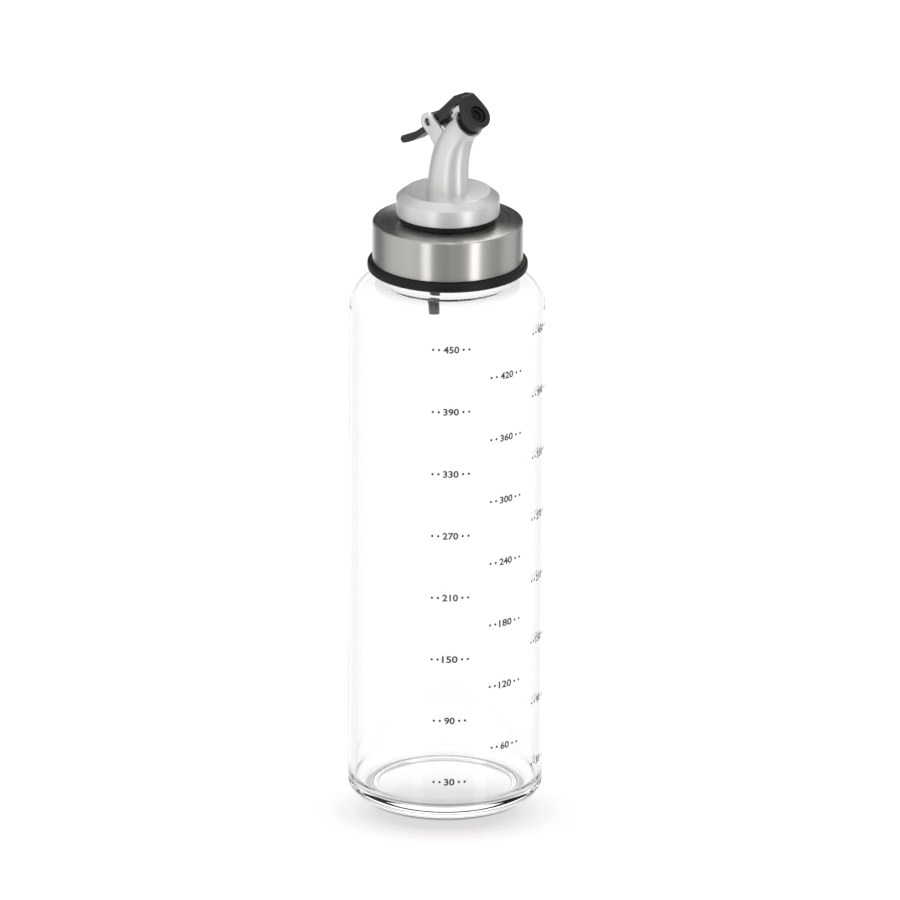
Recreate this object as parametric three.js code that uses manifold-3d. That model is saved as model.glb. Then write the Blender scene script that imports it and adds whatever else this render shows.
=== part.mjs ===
// Glass oil bottle with a screw cap and a push-lever pourer.
// Millimetres, +Z up. The origin is the centre of the base, and the spout points along +X.
import * as THREE from "three";
import { mergeVertices } from "three/addons/utils/BufferGeometryUtils.js";
import Module from "manifold-3d";

const wasm = await Module();
wasm.setup();

// ---------------------------------------------------------------- driving dimensions
const SEAT_GAP = 0.1; // between two pieces that rest on each other
const FIT_GAP = 0.2; // between two pieces pressed into each other
const RUN_GAP = 0.3; // between two pieces that move past each other

const BODY_R = 32; // glass body, outside
const WALL = 2.1; // glass wall
const SHOULDER_Z = 168.5; // where the straight side ends
const SHOULDER_H = 10.2; // height of the rounded shoulder
const BASE_ROUND = 4.6; // outer corner of the base
const FLOOR_Z = 3.6; // inside floor of the bottle, at its edge
const FLOOR_RISE = 0.6; // the floor is this much higher in the middle
const PUNT = 1.2; // hollow under the base
const PUNT_R = 23.5; // radius of that hollow
const NECK_R = 20.2; // neck, at the root of its thread
const NECK_FILLET = 1.6; // between shoulder and neck
const NECK_H = 13.2; // from that fillet to the rim

const THREAD_PITCH = 4;
const THREAD_H = 0.8; // ridge height
const THREAD_W = 1.5; // ridge width at its root
const THREAD_TURNS = 1.25;
const THREAD_RISE = 4.3; // start of the glass ridge above the neck's fillet

const SHELL_T = 0.6; // steel sheet
const SHELL_ROUND = 0.9; // top edge of the steel cover
const INSERT_WALL = 2.5; // black insert, outside its thread
const LIP_OUT = 1.6; // how far the black lip stands out past the steel cover
const LIP_RISE = 1; // underside of the lip above the neck's fillet
const LIP_H = 3.1;
const LIP_ROUND = 0.9;
const CAP_TOP_T = 1.7; // top plate of the black insert
const GASKET_T = 1.7; // seal ring on the glass rim
const GASKET_W = 3.2;

const PLUG_BORE_R = 12.4; // hole in the cap that holds the pourer
const COLLAR_T = 1.5; // wall of the sleeve round that hole
const COLLAR_H = 9.5; // depth of the sleeve below the cap's top plate
const FIN_COUNT = 3;
const FIN_T = 1.2;
const FIN_OUT = 1.25;
const PLUG_WALL = 1.6;
const PLUG_H = 13;

const SKIRT_INSET = 1.3; // black ring between cover and disc, inside the disc's edge
const SKIRT_T = 2.4;
const DISC_R = 16.9; // silver disc
const DISC_SIDE_H = 5.5; // upright part of its edge
const DISC_H = 7.8;
const CHAMFER_W = 2.95; // its width on the disc's top
const DISC_WALL = 1.3;

const STEM_BORE_R = 4; // inner moulding, below the disc
const STEM_LIP = 0.8; // edge that holds the plug on the stem
const FLANGE_T = 1.8;
const VENT_R = 1.75;
const VENT_BORE_R = 1.15;
const VENT_L = 31;
const VENT_SEAT = 13; // length of the vent tube held in the stem
const VENT_EDGE = 1.25; // stem wall outside the vent tube
const VENT_WEB = 0.85; // stem wall between the vent tube and the pouring bore

const SPOUT_WALL = 0.8;
const SPOUT_BASE_X = 7.5; // half length of the oval foot of the spout
const SPOUT_BASE_Y = 6.1; // half width of the same oval
const MOUTH_R = 5.2;
const MOUTH_X = 9.6; // centre of the mouth, from the bottle's axis
const MOUTH_H = 25.4; // centre of the mouth, above the disc
const MOUTH_TILT = THREE.MathUtils.degToRad(38); // mouth axis above the horizontal
const COLLAR_L = 5.4; // straight length behind the mouth
const RIM_L = 1.8; // full round rim at the mouth
const BACK_FLAT = 0.54; // height of the flat back under the lever, in spout radii
const REST_L = 2.6; // small block on the mouth, under the lever's arm
const REST_W = 3;
const REST_H = 1.2;

const DUCT_WALL = 0.9;
const DUCT_BASE_R = 4.4;
const NOZZLE_AIR = 0.45; // air gap round the nozzle in the mouth
const NOZZLE_WALL = 0.75; // round the end of the duct
const NOZZLE_STEP = 0.6; // that end is wider than the nozzle's bore by this much
const NOZZLE_OUT = 1.7; // how far the nozzle stands out of the mouth
const RIB_COUNT = 2;
const RIB_H = 0.22;
const RIB_PITCH = 0.75;

const PIVOT_BACK = 11.74; // pin, behind the top of the mouth's rim
const PIVOT_DROP = 6.6; // and below it
const PIN_R = 0.9;
const PIN_CLEAR = 0.1;
const EAR_R = 3;
const EAR_T = 1.4;
const EAR_INSIDE = 3.1; // half the space between the ears
const HUB_R = 2.6;
const ARM_T = 2.4;
const ARM_W = 5.4;
const ARM_START = [0.84, 1.8]; // top edge of the arm, x and height from the pin
const ARM_END = [10.54, 11.1];
const HEAD_BACK = 2.3; // back face of the lever's head, ahead of the mouth
const HEAD_T = 3.1;
const HEAD_EDGE = 0.8; // the head is larger than the nozzle by this much all round
const HEAD_RISE = 0.4; // centre of the head above the mouth's axis
const SEAL_STEP = 0.7; // the seal's flange is wider than its front by this much
const SEAL_COVER = 0.8; // and wider than the nozzle's bore by this much
const SEAL_FLANGE_T = 1.6;
const SEAL_PROUD = 0.35; // how far the seal stands behind the head
const SEAL_RECESS = 0.5; // how far its front lies inside the head
const TAB_ANGLE = THREE.MathUtils.degToRad(219); // direction of the press tab from the pin
const WIRE_R = 0.3;
const COIL_R = 1.55;
const COIL_TURNS = 3.744; // ends with its leg pointing at the spout's back
const COIL_PITCH = 0.7;

const ROUND = 48; // facets round a large circle
const SMALL_ROUND = 24;

// ---------------------------------------------------------------- derived dimensions
const BODY_IN_R = BODY_R - WALL;
const NECK_IN_R = NECK_R - WALL;
const NECK_Z = SHOULDER_Z + SHOULDER_H + NECK_FILLET;
const RIM_Z = NECK_Z + NECK_H;
const THREAD_START_Z = NECK_Z + THREAD_RISE; // middle of the glass ridge
const SHOULDER_TOP_R = NECK_R + NECK_FILLET;

const CAP_BORE_R = NECK_R + THREAD_H + RUN_GAP;
const INSERT_R = CAP_BORE_R + INSERT_WALL;
const SHELL_IN_R = INSERT_R + FIT_GAP;
const SHELL_R = SHELL_IN_R + SHELL_T;
const LIP_R = SHELL_R + LIP_OUT;
const LIP_Z = NECK_Z + LIP_RISE;
const GASKET_Z = RIM_Z + RUN_GAP;
const PLATE_Z = GASKET_Z + GASKET_T + SEAT_GAP;
const INSERT_TOP_Z = PLATE_Z + CAP_TOP_T;
const SHELL_TOP_Z = INSERT_TOP_Z + SEAT_GAP + SHELL_T;

const FIN_R = PLUG_BORE_R - RUN_GAP / 2;
const SLEEVE_R = FIN_R - FIN_OUT;
const PLUG_IN_R = SLEEVE_R - PLUG_WALL;
const STEM_R = PLUG_IN_R - FIT_GAP;
const PLUG_TOP_Z = SHELL_TOP_Z - SEAT_GAP;
const STEM_BOTTOM_Z = PLUG_TOP_Z - PLUG_H - SEAT_GAP - 2 * STEM_LIP;
const VENT_X = VENT_EDGE + VENT_R + FIT_GAP - STEM_R;
const STEM_BORE_X = VENT_X + VENT_R + FIT_GAP + VENT_WEB + STEM_BORE_R;
const VENT_TOP_Z = STEM_BOTTOM_Z + VENT_SEAT - SEAT_GAP;

const SKIRT_Z = SHELL_TOP_Z + SEAT_GAP;
const SKIRT_R = DISC_R - SKIRT_INSET;
const DISC_Z = SHELL_TOP_Z + SKIRT_T;
const DISC_TOP_Z = DISC_Z + DISC_H;
const DISC_TOP_R = DISC_R - CHAMFER_W;
const FLANGE_R = DISC_R - DISC_WALL - FIT_GAP;

const MOUTH = new THREE.Vector3(MOUTH_X, 0, DISC_TOP_Z + MOUTH_H);
const MOUTH_AXIS = new THREE.Vector3(Math.cos(MOUTH_TILT), 0, Math.sin(MOUTH_TILT));
const MOUTH_UP = new THREE.Vector3(-Math.sin(MOUTH_TILT), 0, Math.cos(MOUTH_TILT));
const MOUTH_IN_R = MOUTH_R - SPOUT_WALL;
const NOZZLE_R = MOUTH_IN_R - NOZZLE_AIR;
const DUCT_TIP_R = NOZZLE_R - NOZZLE_WALL;
const NOZZLE_BORE_R = DUCT_TIP_R - NOZZLE_STEP;
const HEAD_R = NOZZLE_R + HEAD_EDGE;
const SEAL_FLANGE_R = NOZZLE_BORE_R + SEAL_COVER;
const SEAL_R = SEAL_FLANGE_R - SEAL_STEP;

const RIM_TOP = MOUTH.clone().addScaledVector(MOUTH_UP, MOUTH_R);
const PIVOT = RIM_TOP.clone().add(new THREE.Vector3(-PIVOT_BACK, 0, -PIVOT_DROP));
const ARM_ANGLE = Math.atan2(ARM_END[1] - ARM_START[1], ARM_END[0] - ARM_START[0]);

// ---------------------------------------------------------------- solids
// A closed geometry as a manifold solid. Triangles that have no area are left out.
function solid(geometry) {
  const bare = geometry.index ? geometry.toNonIndexed() : geometry.clone();
  bare.deleteAttribute("normal");
  bare.deleteAttribute("uv");
  const merged = mergeVertices(bare, 1e-4);
  const index = merged.index.array;
  const kept = [];
  for (let i = 0; i < index.length; i += 3) {
    const [a, b, c] = [index[i], index[i + 1], index[i + 2]];
    if (a !== b && b !== c && c !== a) kept.push(a, b, c);
  }
  const vertProperties = new Float32Array(merged.attributes.position.array);
  return new wasm.Manifold(new wasm.Mesh({ numProp: 3, vertProperties, triVerts: new Uint32Array(kept) }));
}

// A path of [radius, z] points turned round Z. The path keeps its solid on its left-hand side.
function turned(path, facets = ROUND) {
  const curved = path instanceof THREE.Path;
  const points = curved ? path.getPoints(2) : path.map(([r, z]) => new THREE.Vector2(r, z));
  const first = points[0];
  const last = points[points.length - 1];
  if (first.x > 0 && !first.equals(last)) points.push(first.clone());
  points.forEach((p) => (p.x = Math.max(p.x, 0)));
  return solid(new THREE.LatheGeometry(points, facets).rotateX(Math.PI / 2));
}

// A ring with square edges, between two radii and two heights.
function ring(inner, outer, low, high, facets = ROUND) {
  return turned([[inner, low], [outer, low], [outer, high], [inner, high]], facets);
}

function rod(radius, from, to, facets = SMALL_ROUND) {
  const axis = to.clone().sub(from);
  const bar = new THREE.CylinderGeometry(radius, radius, axis.length(), facets);
  bar.applyQuaternion(new THREE.Quaternion().setFromUnitVectors(THREE.Object3D.DEFAULT_UP, axis.normalize()));
  const middle = from.clone().add(to).multiplyScalar(0.5);
  return solid(bar.translate(middle.x, middle.y, middle.z));
}

// An outline seen from the side, drawn round the pin, made a plate between two Y values.
function sidePlate(shape, lowY, highY) {
  const plate = new THREE.ExtrudeGeometry(shape, { depth: highY - lowY, bevelEnabled: false, curveSegments: 8 });
  return solid(plate.rotateX(Math.PI / 2).translate(PIVOT.x, highY, PIVOT.z));
}

// Places a geometry drawn in X (sideways), Y (up) and Z (out of the mouth) at the mouth.
function atMouth(geometry) {
  const side = new THREE.Vector3().crossVectors(MOUTH_UP, MOUTH_AXIS);
  const frame = new THREE.Matrix4().makeBasis(side, MOUTH_UP, MOUTH_AXIS).setPosition(MOUTH);
  return geometry.applyMatrix4(frame);
}

// A turned piece whose axis is the mouth's: [radius, distance ahead of the mouth] points.
function turnedAtMouth(points, rise = 0, facets = SMALL_ROUND) {
  const path = points.map(([r, s]) => new THREE.Vector2(r, s));
  const lathe = new THREE.LatheGeometry(path, facets).rotateX(Math.PI / 2).translate(0, rise, 0);
  return solid(atMouth(lathe));
}

// A helical ridge on a neck. Its root is sunk a little into the wall that it stands on.
function threadRidge(rootR, crestR, startZ) {
  const steps = Math.round(ROUND * THREAD_TURNS);
  const sink = 0.3 * Math.sign(rootR - crestR);
  const ridge = new THREE.BoxGeometry(steps, 1, 1, steps, 1, 1);
  const position = ridge.attributes.position;
  for (let i = 0; i < position.count; i++) {
    const along = position.getX(i) / steps + 0.5;
    const crest = position.getY(i) > 0;
    const fade = Math.min(1, 8 * along, 8 * (1 - along));
    const height = crest ? (crestR - rootR) * Math.max(fade, 0.1) : sink;
    const angle = along * THREAD_TURNS * 2 * Math.PI;
    const width = crest ? 0.6 * THREAD_W : THREAD_W;
    const radius = rootR + height;
    position.setXYZ(
      i,
      radius * Math.cos(angle),
      radius * Math.sin(angle),
      startZ + along * THREAD_TURNS * THREAD_PITCH + position.getZ(i) * width,
    );
  }
  if (crestR > rootR) ridge.index.array.reverse();
  return solid(ridge);
}

// The spout's centre line, from inside the disc up to the mouth.
const SPOUT_LINE = new THREE.CubicBezierCurve3(
  new THREE.Vector3(0, 0, DISC_TOP_Z),
  new THREE.Vector3(0.2, 0, DISC_TOP_Z + 0.47 * MOUTH_H),
  MOUTH.clone().addScaledVector(MOUTH_AXIS, -9.1),
  MOUTH,
);

// A closed body round the spout's line. halfSize(t) gives its half length and half width,
// backHeight(t) cuts its back flat, and the two ends run on straight by the lengths given.
function alongSpout(halfSize, backHeight, { below = 0, beyond = 0 } = {}) {
  const steps = 12;
  const body = new THREE.CylinderGeometry(1, 1, steps, SMALL_ROUND, steps);
  const position = body.attributes.position;
  for (let i = 0; i < position.count; i++) {
    const t = (position.getY(i) + steps / 2) / steps;
    const [length, width] = halfSize(t);
    const centre = SPOUT_LINE.getPoint(t);
    const ahead = SPOUT_LINE.getTangent(t);
    if (t === 0) centre.addScaledVector(ahead, -below);
    if (t === 1) centre.addScaledVector(ahead, beyond);
    const back = new THREE.Vector3(-ahead.z, 0, ahead.x);
    centre.addScaledVector(back, Math.min(-position.getX(i) * length, backHeight(t)));
    centre.y -= position.getZ(i) * width;
    position.setXYZ(i, centre.x, centre.y, centre.z);
  }
  return solid(body);
}

const ease = (from, to, t) => THREE.MathUtils.smoothstep(t, from, to);

// ---------------------------------------------------------------- pieces
function glassBottle() {
  const wall = new THREE.Path();
  wall.moveTo(0, PUNT);
  wall.lineTo(PUNT_R, PUNT);
  wall.lineTo(PUNT_R + PUNT, 0);
  wall.lineTo(BODY_R - BASE_ROUND, 0);
  wall.absarc(BODY_R - BASE_ROUND, BASE_ROUND, BASE_ROUND, -Math.PI / 2, 0);
  wall.absellipse(SHOULDER_TOP_R, SHOULDER_Z, BODY_R - SHOULDER_TOP_R, SHOULDER_H, 0, Math.PI / 2);
  wall.absarc(SHOULDER_TOP_R, NECK_Z, NECK_FILLET, -Math.PI / 2, -Math.PI, true);
  wall.absarc((NECK_R + NECK_IN_R) / 2, RIM_Z - WALL / 2, WALL / 2, 0, Math.PI);
  wall.absarc(SHOULDER_TOP_R, NECK_Z, NECK_FILLET + WALL, Math.PI, 1.5 * Math.PI);
  wall.absellipse(
    SHOULDER_TOP_R,
    SHOULDER_Z,
    BODY_IN_R - SHOULDER_TOP_R,
    SHOULDER_H - WALL,
    Math.PI / 2,
    0,
    true,
  );
  wall.absarc(BODY_IN_R - BASE_ROUND, FLOOR_Z + BASE_ROUND, BASE_ROUND, 0, -Math.PI / 2, true);
  wall.lineTo(0, FLOOR_Z + FLOOR_RISE);
  return turned(wall).add(threadRidge(NECK_R, NECK_R + THREAD_H, THREAD_START_Z));
}

function neckGasket() {
  const middle = (NECK_R + NECK_IN_R) / 2;
  return ring(middle - GASKET_W / 2, middle + GASKET_W / 2, GASKET_Z, GASKET_Z + GASKET_T);
}

function capShell() {
  const low = LIP_Z + LIP_H + SEAT_GAP;
  const edgeR = SHELL_R - SHELL_ROUND;
  const sheet = new THREE.Path();
  sheet.moveTo(SHELL_IN_R, low);
  sheet.lineTo(SHELL_R, low);
  sheet.absarc(edgeR, SHELL_TOP_Z - SHELL_ROUND, SHELL_ROUND, 0, Math.PI / 2);
  sheet.lineTo(PLUG_BORE_R + SHELL_T, SHELL_TOP_Z);
  sheet.lineTo(PLUG_BORE_R + SHELL_T, SHELL_TOP_Z - SHELL_T);
  sheet.absarc(edgeR, SHELL_TOP_Z - SHELL_ROUND, SHELL_ROUND - SHELL_T, Math.PI / 2, 0, true);
  return turned(sheet);
}

function capInsert() {
  const lipTop = LIP_Z + LIP_H;
  const collarR = PLUG_BORE_R + COLLAR_T;
  const body = new THREE.Path();
  body.moveTo(CAP_BORE_R, LIP_Z);
  body.lineTo(LIP_R - LIP_ROUND, LIP_Z);
  body.absarc(LIP_R - LIP_ROUND, LIP_Z + LIP_ROUND, LIP_ROUND, -Math.PI / 2, 0);
  body.absarc(LIP_R - LIP_ROUND, lipTop - LIP_ROUND, LIP_ROUND, 0, Math.PI / 2);
  body.lineTo(INSERT_R, lipTop);
  body.lineTo(INSERT_R, INSERT_TOP_Z - SHELL_ROUND);
  body.lineTo(INSERT_R - SHELL_ROUND, INSERT_TOP_Z);
  body.lineTo(PLUG_BORE_R, INSERT_TOP_Z);
  body.lineTo(PLUG_BORE_R, PLATE_Z - COLLAR_H);
  body.lineTo(collarR, PLATE_Z - COLLAR_H);
  body.lineTo(collarR, PLATE_Z);
  body.lineTo(CAP_BORE_R, PLATE_Z);
  // The cap's ridge lies half a pitch below the glass one, so that the two run past each other.
  const ridge = threadRidge(CAP_BORE_R, CAP_BORE_R - THREAD_H, THREAD_START_Z - THREAD_PITCH / 2);
  const room = ring(1, CAP_BORE_R + 1, LIP_Z, PLATE_Z);
  return turned(body).add(ridge.intersect(room));
}

function baseGasket() {
  return ring(STEM_R + FIT_GAP, SKIRT_R, SKIRT_Z, DISC_Z - SEAT_GAP);
}

// The silicone plug: a sleeve on the stem, with sloping fins that grip the cap's hole.
function stopperPlug() {
  const low = PLUG_TOP_Z - PLUG_H;
  const spacing = (PLUG_H - 2 * FIN_T) / FIN_COUNT;
  const outline = [[PLUG_IN_R, low], [SLEEVE_R, low]];
  for (let i = 0; i < FIN_COUNT; i++) {
    const z = low + FIN_T + i * spacing;
    outline.push([SLEEVE_R, z], [FIN_R, z + 0.4 * FIN_T], [FIN_R, z + FIN_T], [SLEEVE_R, z + FIN_T]);
  }
  outline.push([SLEEVE_R, PLUG_TOP_Z], [PLUG_IN_R, PLUG_TOP_Z]);
  return turned(outline);
}

function spoutHalfSize(t) {
  const length = THREE.MathUtils.lerp(SPOUT_BASE_X, MOUTH_R, Math.min(1, 1.2 * t));
  const width = THREE.MathUtils.lerp(SPOUT_BASE_Y, MOUTH_R, Math.min(1, 1.1 * t));
  return [length, width];
}

// Height of the spout's back over its centre line: round at the foot, flat under the lever.
function backHeight(t) {
  const flat = THREE.MathUtils.lerp(1, BACK_FLAT, ease(0.45, 0.72, t));
  return flat * spoutHalfSize(t)[0];
}

// Two ears carry the lever's pin. They grow out of the spout's back.
function ears() {
  const ear = new THREE.Shape();
  ear.moveTo(0.94, -4.5);
  ear.lineTo(3.14, -7.3);
  ear.lineTo(7.34, -7.3);
  ear.lineTo(7.34, -2.5);
  ear.lineTo(6.34, -0.9);
  ear.absarc(0, 0, EAR_R, 0.25 * Math.PI, 1.2 * Math.PI);
  const near = sidePlate(ear, -EAR_INSIDE - EAR_T, -EAR_INSIDE);
  return near.add(sidePlate(ear, EAR_INSIDE, EAR_INSIDE + EAR_T));
}

function pinHole(radius) {
  const reach = new THREE.Vector3(0, EAR_INSIDE + 2 * EAR_T, 0);
  return rod(radius, PIVOT.clone().sub(reach), PIVOT.clone().add(reach), 24);
}

// The silver moulding: a hollow disc, the bent spout on it, its mouth, the ears and the arm's rest.
function spoutShell() {
  const chamfer = DISC_H - DISC_SIDE_H;
  const underR = DISC_R - DISC_WALL;
  const underTop = DISC_TOP_Z - DISC_WALL;
  const disc = turned([
    [underR, DISC_Z],
    [DISC_R, DISC_Z],
    [DISC_R, DISC_Z + DISC_SIDE_H],
    [DISC_TOP_R, DISC_TOP_Z],
    [0, DISC_TOP_Z],
    [0, underTop],
    [DISC_TOP_R - 0.5 * DISC_WALL, underTop],
    [underR, underTop - chamfer],
  ]);
  const outside = alongSpout(spoutHalfSize, backHeight, { below: DISC_WALL / 2 });
  const collar = turnedAtMouth([
    [0, -COLLAR_L],
    [MOUTH_R - 0.3, -COLLAR_L],
    [MOUTH_R, -RIM_L],
    [MOUTH_R, 0],
    [0, 0],
  ]);
  const aboveFlat = new THREE.BoxGeometry(4 * MOUTH_R, MOUTH_R, COLLAR_L);
  aboveFlat.translate(0, (BACK_FLAT + 0.5) * MOUTH_R, -RIM_L - COLLAR_L / 2);
  const rest = new THREE.BoxGeometry(REST_W, REST_H + MOUTH_R, REST_L);
  rest.translate(0, (MOUTH_R + REST_H) / 2, -REST_L / 2);
  const innerHalfSize = (t) => spoutHalfSize(t).map((size) => size - SPOUT_WALL);
  const innerBack = (t) => backHeight(t) - SPOUT_WALL;
  const inside = alongSpout(innerHalfSize, innerBack, { below: 2 * DISC_WALL, beyond: 1 });
  const bore = turnedAtMouth([
    [0, SPOUT_WALL - RIM_L],
    [MOUTH_IN_R, SPOUT_WALL - RIM_L],
    [MOUTH_IN_R, RIM_L],
    [0, RIM_L],
  ]);
  return disc
    .add(outside)
    .add(collar.subtract(solid(atMouth(aboveFlat))))
    .add(solid(atMouth(rest)))
    .add(ears())
    .subtract(inside)
    .subtract(bore)
    .subtract(pinHole(PIN_R + PIN_CLEAR));
}

// The black inner moulding: the stem that carries plug and vent tube, a flange and the pouring duct.
function spoutCore() {
  const flangeZ = DISC_Z + SEAT_GAP;
  const stem = turned([
    [0, STEM_BOTTOM_Z],
    [STEM_R, STEM_BOTTOM_Z],
    [STEM_R + STEM_LIP, STEM_BOTTOM_Z + STEM_LIP],
    [STEM_R + STEM_LIP, STEM_BOTTOM_Z + 2 * STEM_LIP],
    [STEM_R, STEM_BOTTOM_Z + 2 * STEM_LIP],
    [STEM_R, flangeZ],
    [FLANGE_R, flangeZ],
    [FLANGE_R, flangeZ + FLANGE_T],
    [0, flangeZ + FLANGE_T],
  ]);
  const ductR = (t) => THREE.MathUtils.lerp(DUCT_BASE_R, DUCT_TIP_R, t);
  const boreR = (t) => ductR(t) - DUCT_WALL;
  const ductBack = (t) => backHeight(t) - SPOUT_WALL - RUN_GAP;
  const boreBack = (t) => ductBack(t) - DUCT_WALL;
  const down = DISC_TOP_Z - flangeZ - FLANGE_T / 2;
  const duct = alongSpout((t) => [ductR(t), ductR(t)], ductBack, { below: down });
  const bore = alongSpout((t) => [boreR(t), boreR(t)], boreBack, { below: down + FLANGE_T, beyond: 1 });
  const stemBore = rod(
    STEM_BORE_R,
    new THREE.Vector3(STEM_BORE_X, 0, STEM_BOTTOM_Z - 1),
    new THREE.Vector3(STEM_BORE_X, 0, flangeZ + FLANGE_T / 2),
  );
  const ventBore = rod(
    VENT_R + FIT_GAP,
    new THREE.Vector3(VENT_X, 0, STEM_BOTTOM_Z - 1),
    new THREE.Vector3(VENT_X, 0, STEM_BOTTOM_Z + VENT_SEAT),
  );
  const airWay = rod(
    VENT_BORE_R,
    new THREE.Vector3(VENT_X, 0, STEM_BOTTOM_Z),
    new THREE.Vector3(VENT_X, 0, flangeZ + 2 * FLANGE_T),
  );
  return stem.add(duct).subtract(stemBore).subtract(bore).subtract(ventBore).subtract(airWay);
}

function ventTube() {
  return ring(VENT_BORE_R, VENT_R, VENT_TOP_Z - VENT_L, VENT_TOP_Z, SMALL_ROUND).translate([VENT_X, 0, 0]);
}

// The ribbed black nozzle, pushed over the end of the duct inside the mouth.
function nozzleTip() {
  const low = SPOUT_WALL - RIM_L + SEAT_GAP;
  const socketR = DUCT_TIP_R + FIT_GAP;
  const outline = [[socketR, low], [NOZZLE_R, low]];
  for (let i = 0; i < RIB_COUNT; i++) {
    const middle = RIB_PITCH * (i + 0.6);
    outline.push([NOZZLE_R, middle - 0.2], [NOZZLE_R + RIB_H, middle], [NOZZLE_R, middle + 0.2]);
  }
  outline.push([NOZZLE_R, NOZZLE_OUT], [NOZZLE_BORE_R, NOZZLE_OUT], [NOZZLE_BORE_R, SEAT_GAP]);
  outline.push([socketR, SEAT_GAP], [socketR, low]);
  return turnedAtMouth(outline);
}

function pivotPin() {
  const half = new THREE.Vector3(0, EAR_INSIDE + EAR_T - FIT_GAP, 0);
  return rod(PIN_R, PIVOT.clone().sub(half), PIVOT.clone().add(half), 24);
}

// A box in the lever's side view: along and across a direction through the pivot.
function slotBox(angle, from, to, low, high, width) {
  const box = new THREE.BoxGeometry(to - from, width, high - low);
  box.translate((from + to) / 2, 0, (low + high) / 2).rotateY(-angle);
  return solid(box.translate(PIVOT.x, PIVOT.y, PIVOT.z));
}

function leverSide() {
  const [inwards, down] = [Math.sin(ARM_ANGLE) * ARM_T, Math.cos(ARM_ANGLE) * ARM_T];
  const side = new THREE.Shape();
  side.moveTo(...ARM_START);
  side.lineTo(-3.56, -2);
  side.quadraticCurveTo(-8.2, -5.5, -13.56, -9);
  side.quadraticCurveTo(-14.56, -10.1, -12.76, -10.5);
  side.quadraticCurveTo(-8.6, -9.4, -5.36, -6.6);
  side.lineTo(0.94, -2.1);
  side.lineTo(ARM_START[0] + inwards, ARM_START[1] - down);
  side.lineTo(ARM_END[0] + inwards, ARM_END[1] - down);
  side.lineTo(...ARM_END);
  return side;
}

// The lever's head as seen along the mouth: a round plate that narrows upwards to the arm.
function headOutline(top) {
  const half = ARM_W / 2;
  const [waistX, waistY] = [0.85 * HEAD_R, 0.75 * HEAD_R];
  const shoulderY = 1.35 * HEAD_R;
  const arcEnd = THREE.MathUtils.degToRad(20);
  const plate = new THREE.Shape();
  plate.absarc(0, 0, HEAD_R, Math.PI - arcEnd, arcEnd);
  plate.quadraticCurveTo(waistX, waistY, half, shoulderY);
  plate.lineTo(half, top);
  plate.lineTo(-half, top);
  plate.lineTo(-half, shoulderY);
  plate.quadraticCurveTo(-waistX, waistY, -HEAD_R * Math.cos(arcEnd), HEAD_R * Math.sin(arcEnd));
  return plate;
}

function leverHead() {
  const outline = headOutline(2.2 * HEAD_R);
  const depth = 2 * HEAD_T;
  const plate = new THREE.ExtrudeGeometry(outline, { depth, bevelEnabled: false, curveSegments: 12 });
  const wide = solid(atMouth(plate.translate(0, HEAD_RISE, HEAD_BACK - HEAD_T / 2)));
  // The same head from the side: x is the distance ahead of the mouth, y the height over its axis.
  const front = HEAD_BACK + HEAD_T;
  const side = new THREE.Shape();
  side.moveTo(HEAD_BACK, -2 * HEAD_R);
  side.lineTo(front, -2 * HEAD_R);
  side.lineTo(front, MOUTH_R + 1.2);
  side.quadraticCurveTo(front, MOUTH_R + 2.5, front - 1, MOUTH_R + 2.9);
  side.lineTo(HEAD_BACK - 0.47, MOUTH_R + 4.29);
  side.lineTo(HEAD_BACK - 1.1, MOUTH_R + 2);
  side.lineTo(HEAD_BACK, MOUTH_R + 1);
  const slab = new THREE.ExtrudeGeometry(side, { depth: 4 * HEAD_R, bevelEnabled: false, curveSegments: 8 });
  slab.translate(0, 0, -2 * HEAD_R).rotateY(-Math.PI / 2);
  return wide.intersect(solid(atMouth(slab)));
}

function lever() {
  const arm = sidePlate(leverSide(), -ARM_W / 2, ARM_W / 2);
  const halfHub = new THREE.Vector3(0, EAR_INSIDE - RUN_GAP, 0);
  const hub = rod(HUB_R, PIVOT.clone().sub(halfHub), PIVOT.clone().add(halfHub));
  const sealSeat = turnedAtMouth(
    [
      [0, HEAD_BACK - 2],
      [SEAL_FLANGE_R + FIT_GAP, HEAD_BACK - 2],
      [SEAL_FLANGE_R + FIT_GAP, HEAD_BACK - SEAL_PROUD + SEAL_FLANGE_T + SEAT_GAP],
      [SEAL_R + FIT_GAP, HEAD_BACK - SEAL_PROUD + SEAL_FLANGE_T + SEAT_GAP],
      [SEAL_R + FIT_GAP, HEAD_BACK + HEAD_T + 2],
      [0, HEAD_BACK + HEAD_T + 2],
    ],
    HEAD_RISE,
  );
  const coilHalf = new THREE.Vector3(0, (COIL_TURNS * COIL_PITCH) / 2 + WIRE_R + FIT_GAP, 0);
  const coilRoom = rod(COIL_R + WIRE_R + FIT_GAP, PIVOT.clone().sub(coilHalf), PIVOT.clone().add(coilHalf));
  const legRoom = slotBox(TAB_ANGLE, -3.5, 6, 0.7, 5, 2 * coilHalf.y);
  return arm
    .add(hub)
    .add(leverHead())
    .subtract(sealSeat)
    .subtract(coilRoom)
    .subtract(legRoom)
    .subtract(pinHole(PIN_R + PIN_CLEAR));
}

// The soft button in the lever's head that closes the nozzle. Its front has a small dimple.
function leverSeal() {
  const back = HEAD_BACK - SEAL_PROUD;
  const front = HEAD_BACK + HEAD_T - SEAL_RECESS;
  return turnedAtMouth(
    [
      [0, back],
      [SEAL_FLANGE_R, back],
      [SEAL_FLANGE_R, back + SEAL_FLANGE_T],
      [SEAL_R, back + SEAL_FLANGE_T],
      [SEAL_R, front - 0.3],
      [SEAL_R - 0.3, front],
      [0.45 * SEAL_R, front],
      [0.25 * SEAL_R, front - 0.8],
      [0, front - 0.8],
    ],
    HEAD_RISE,
  );
}

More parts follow.
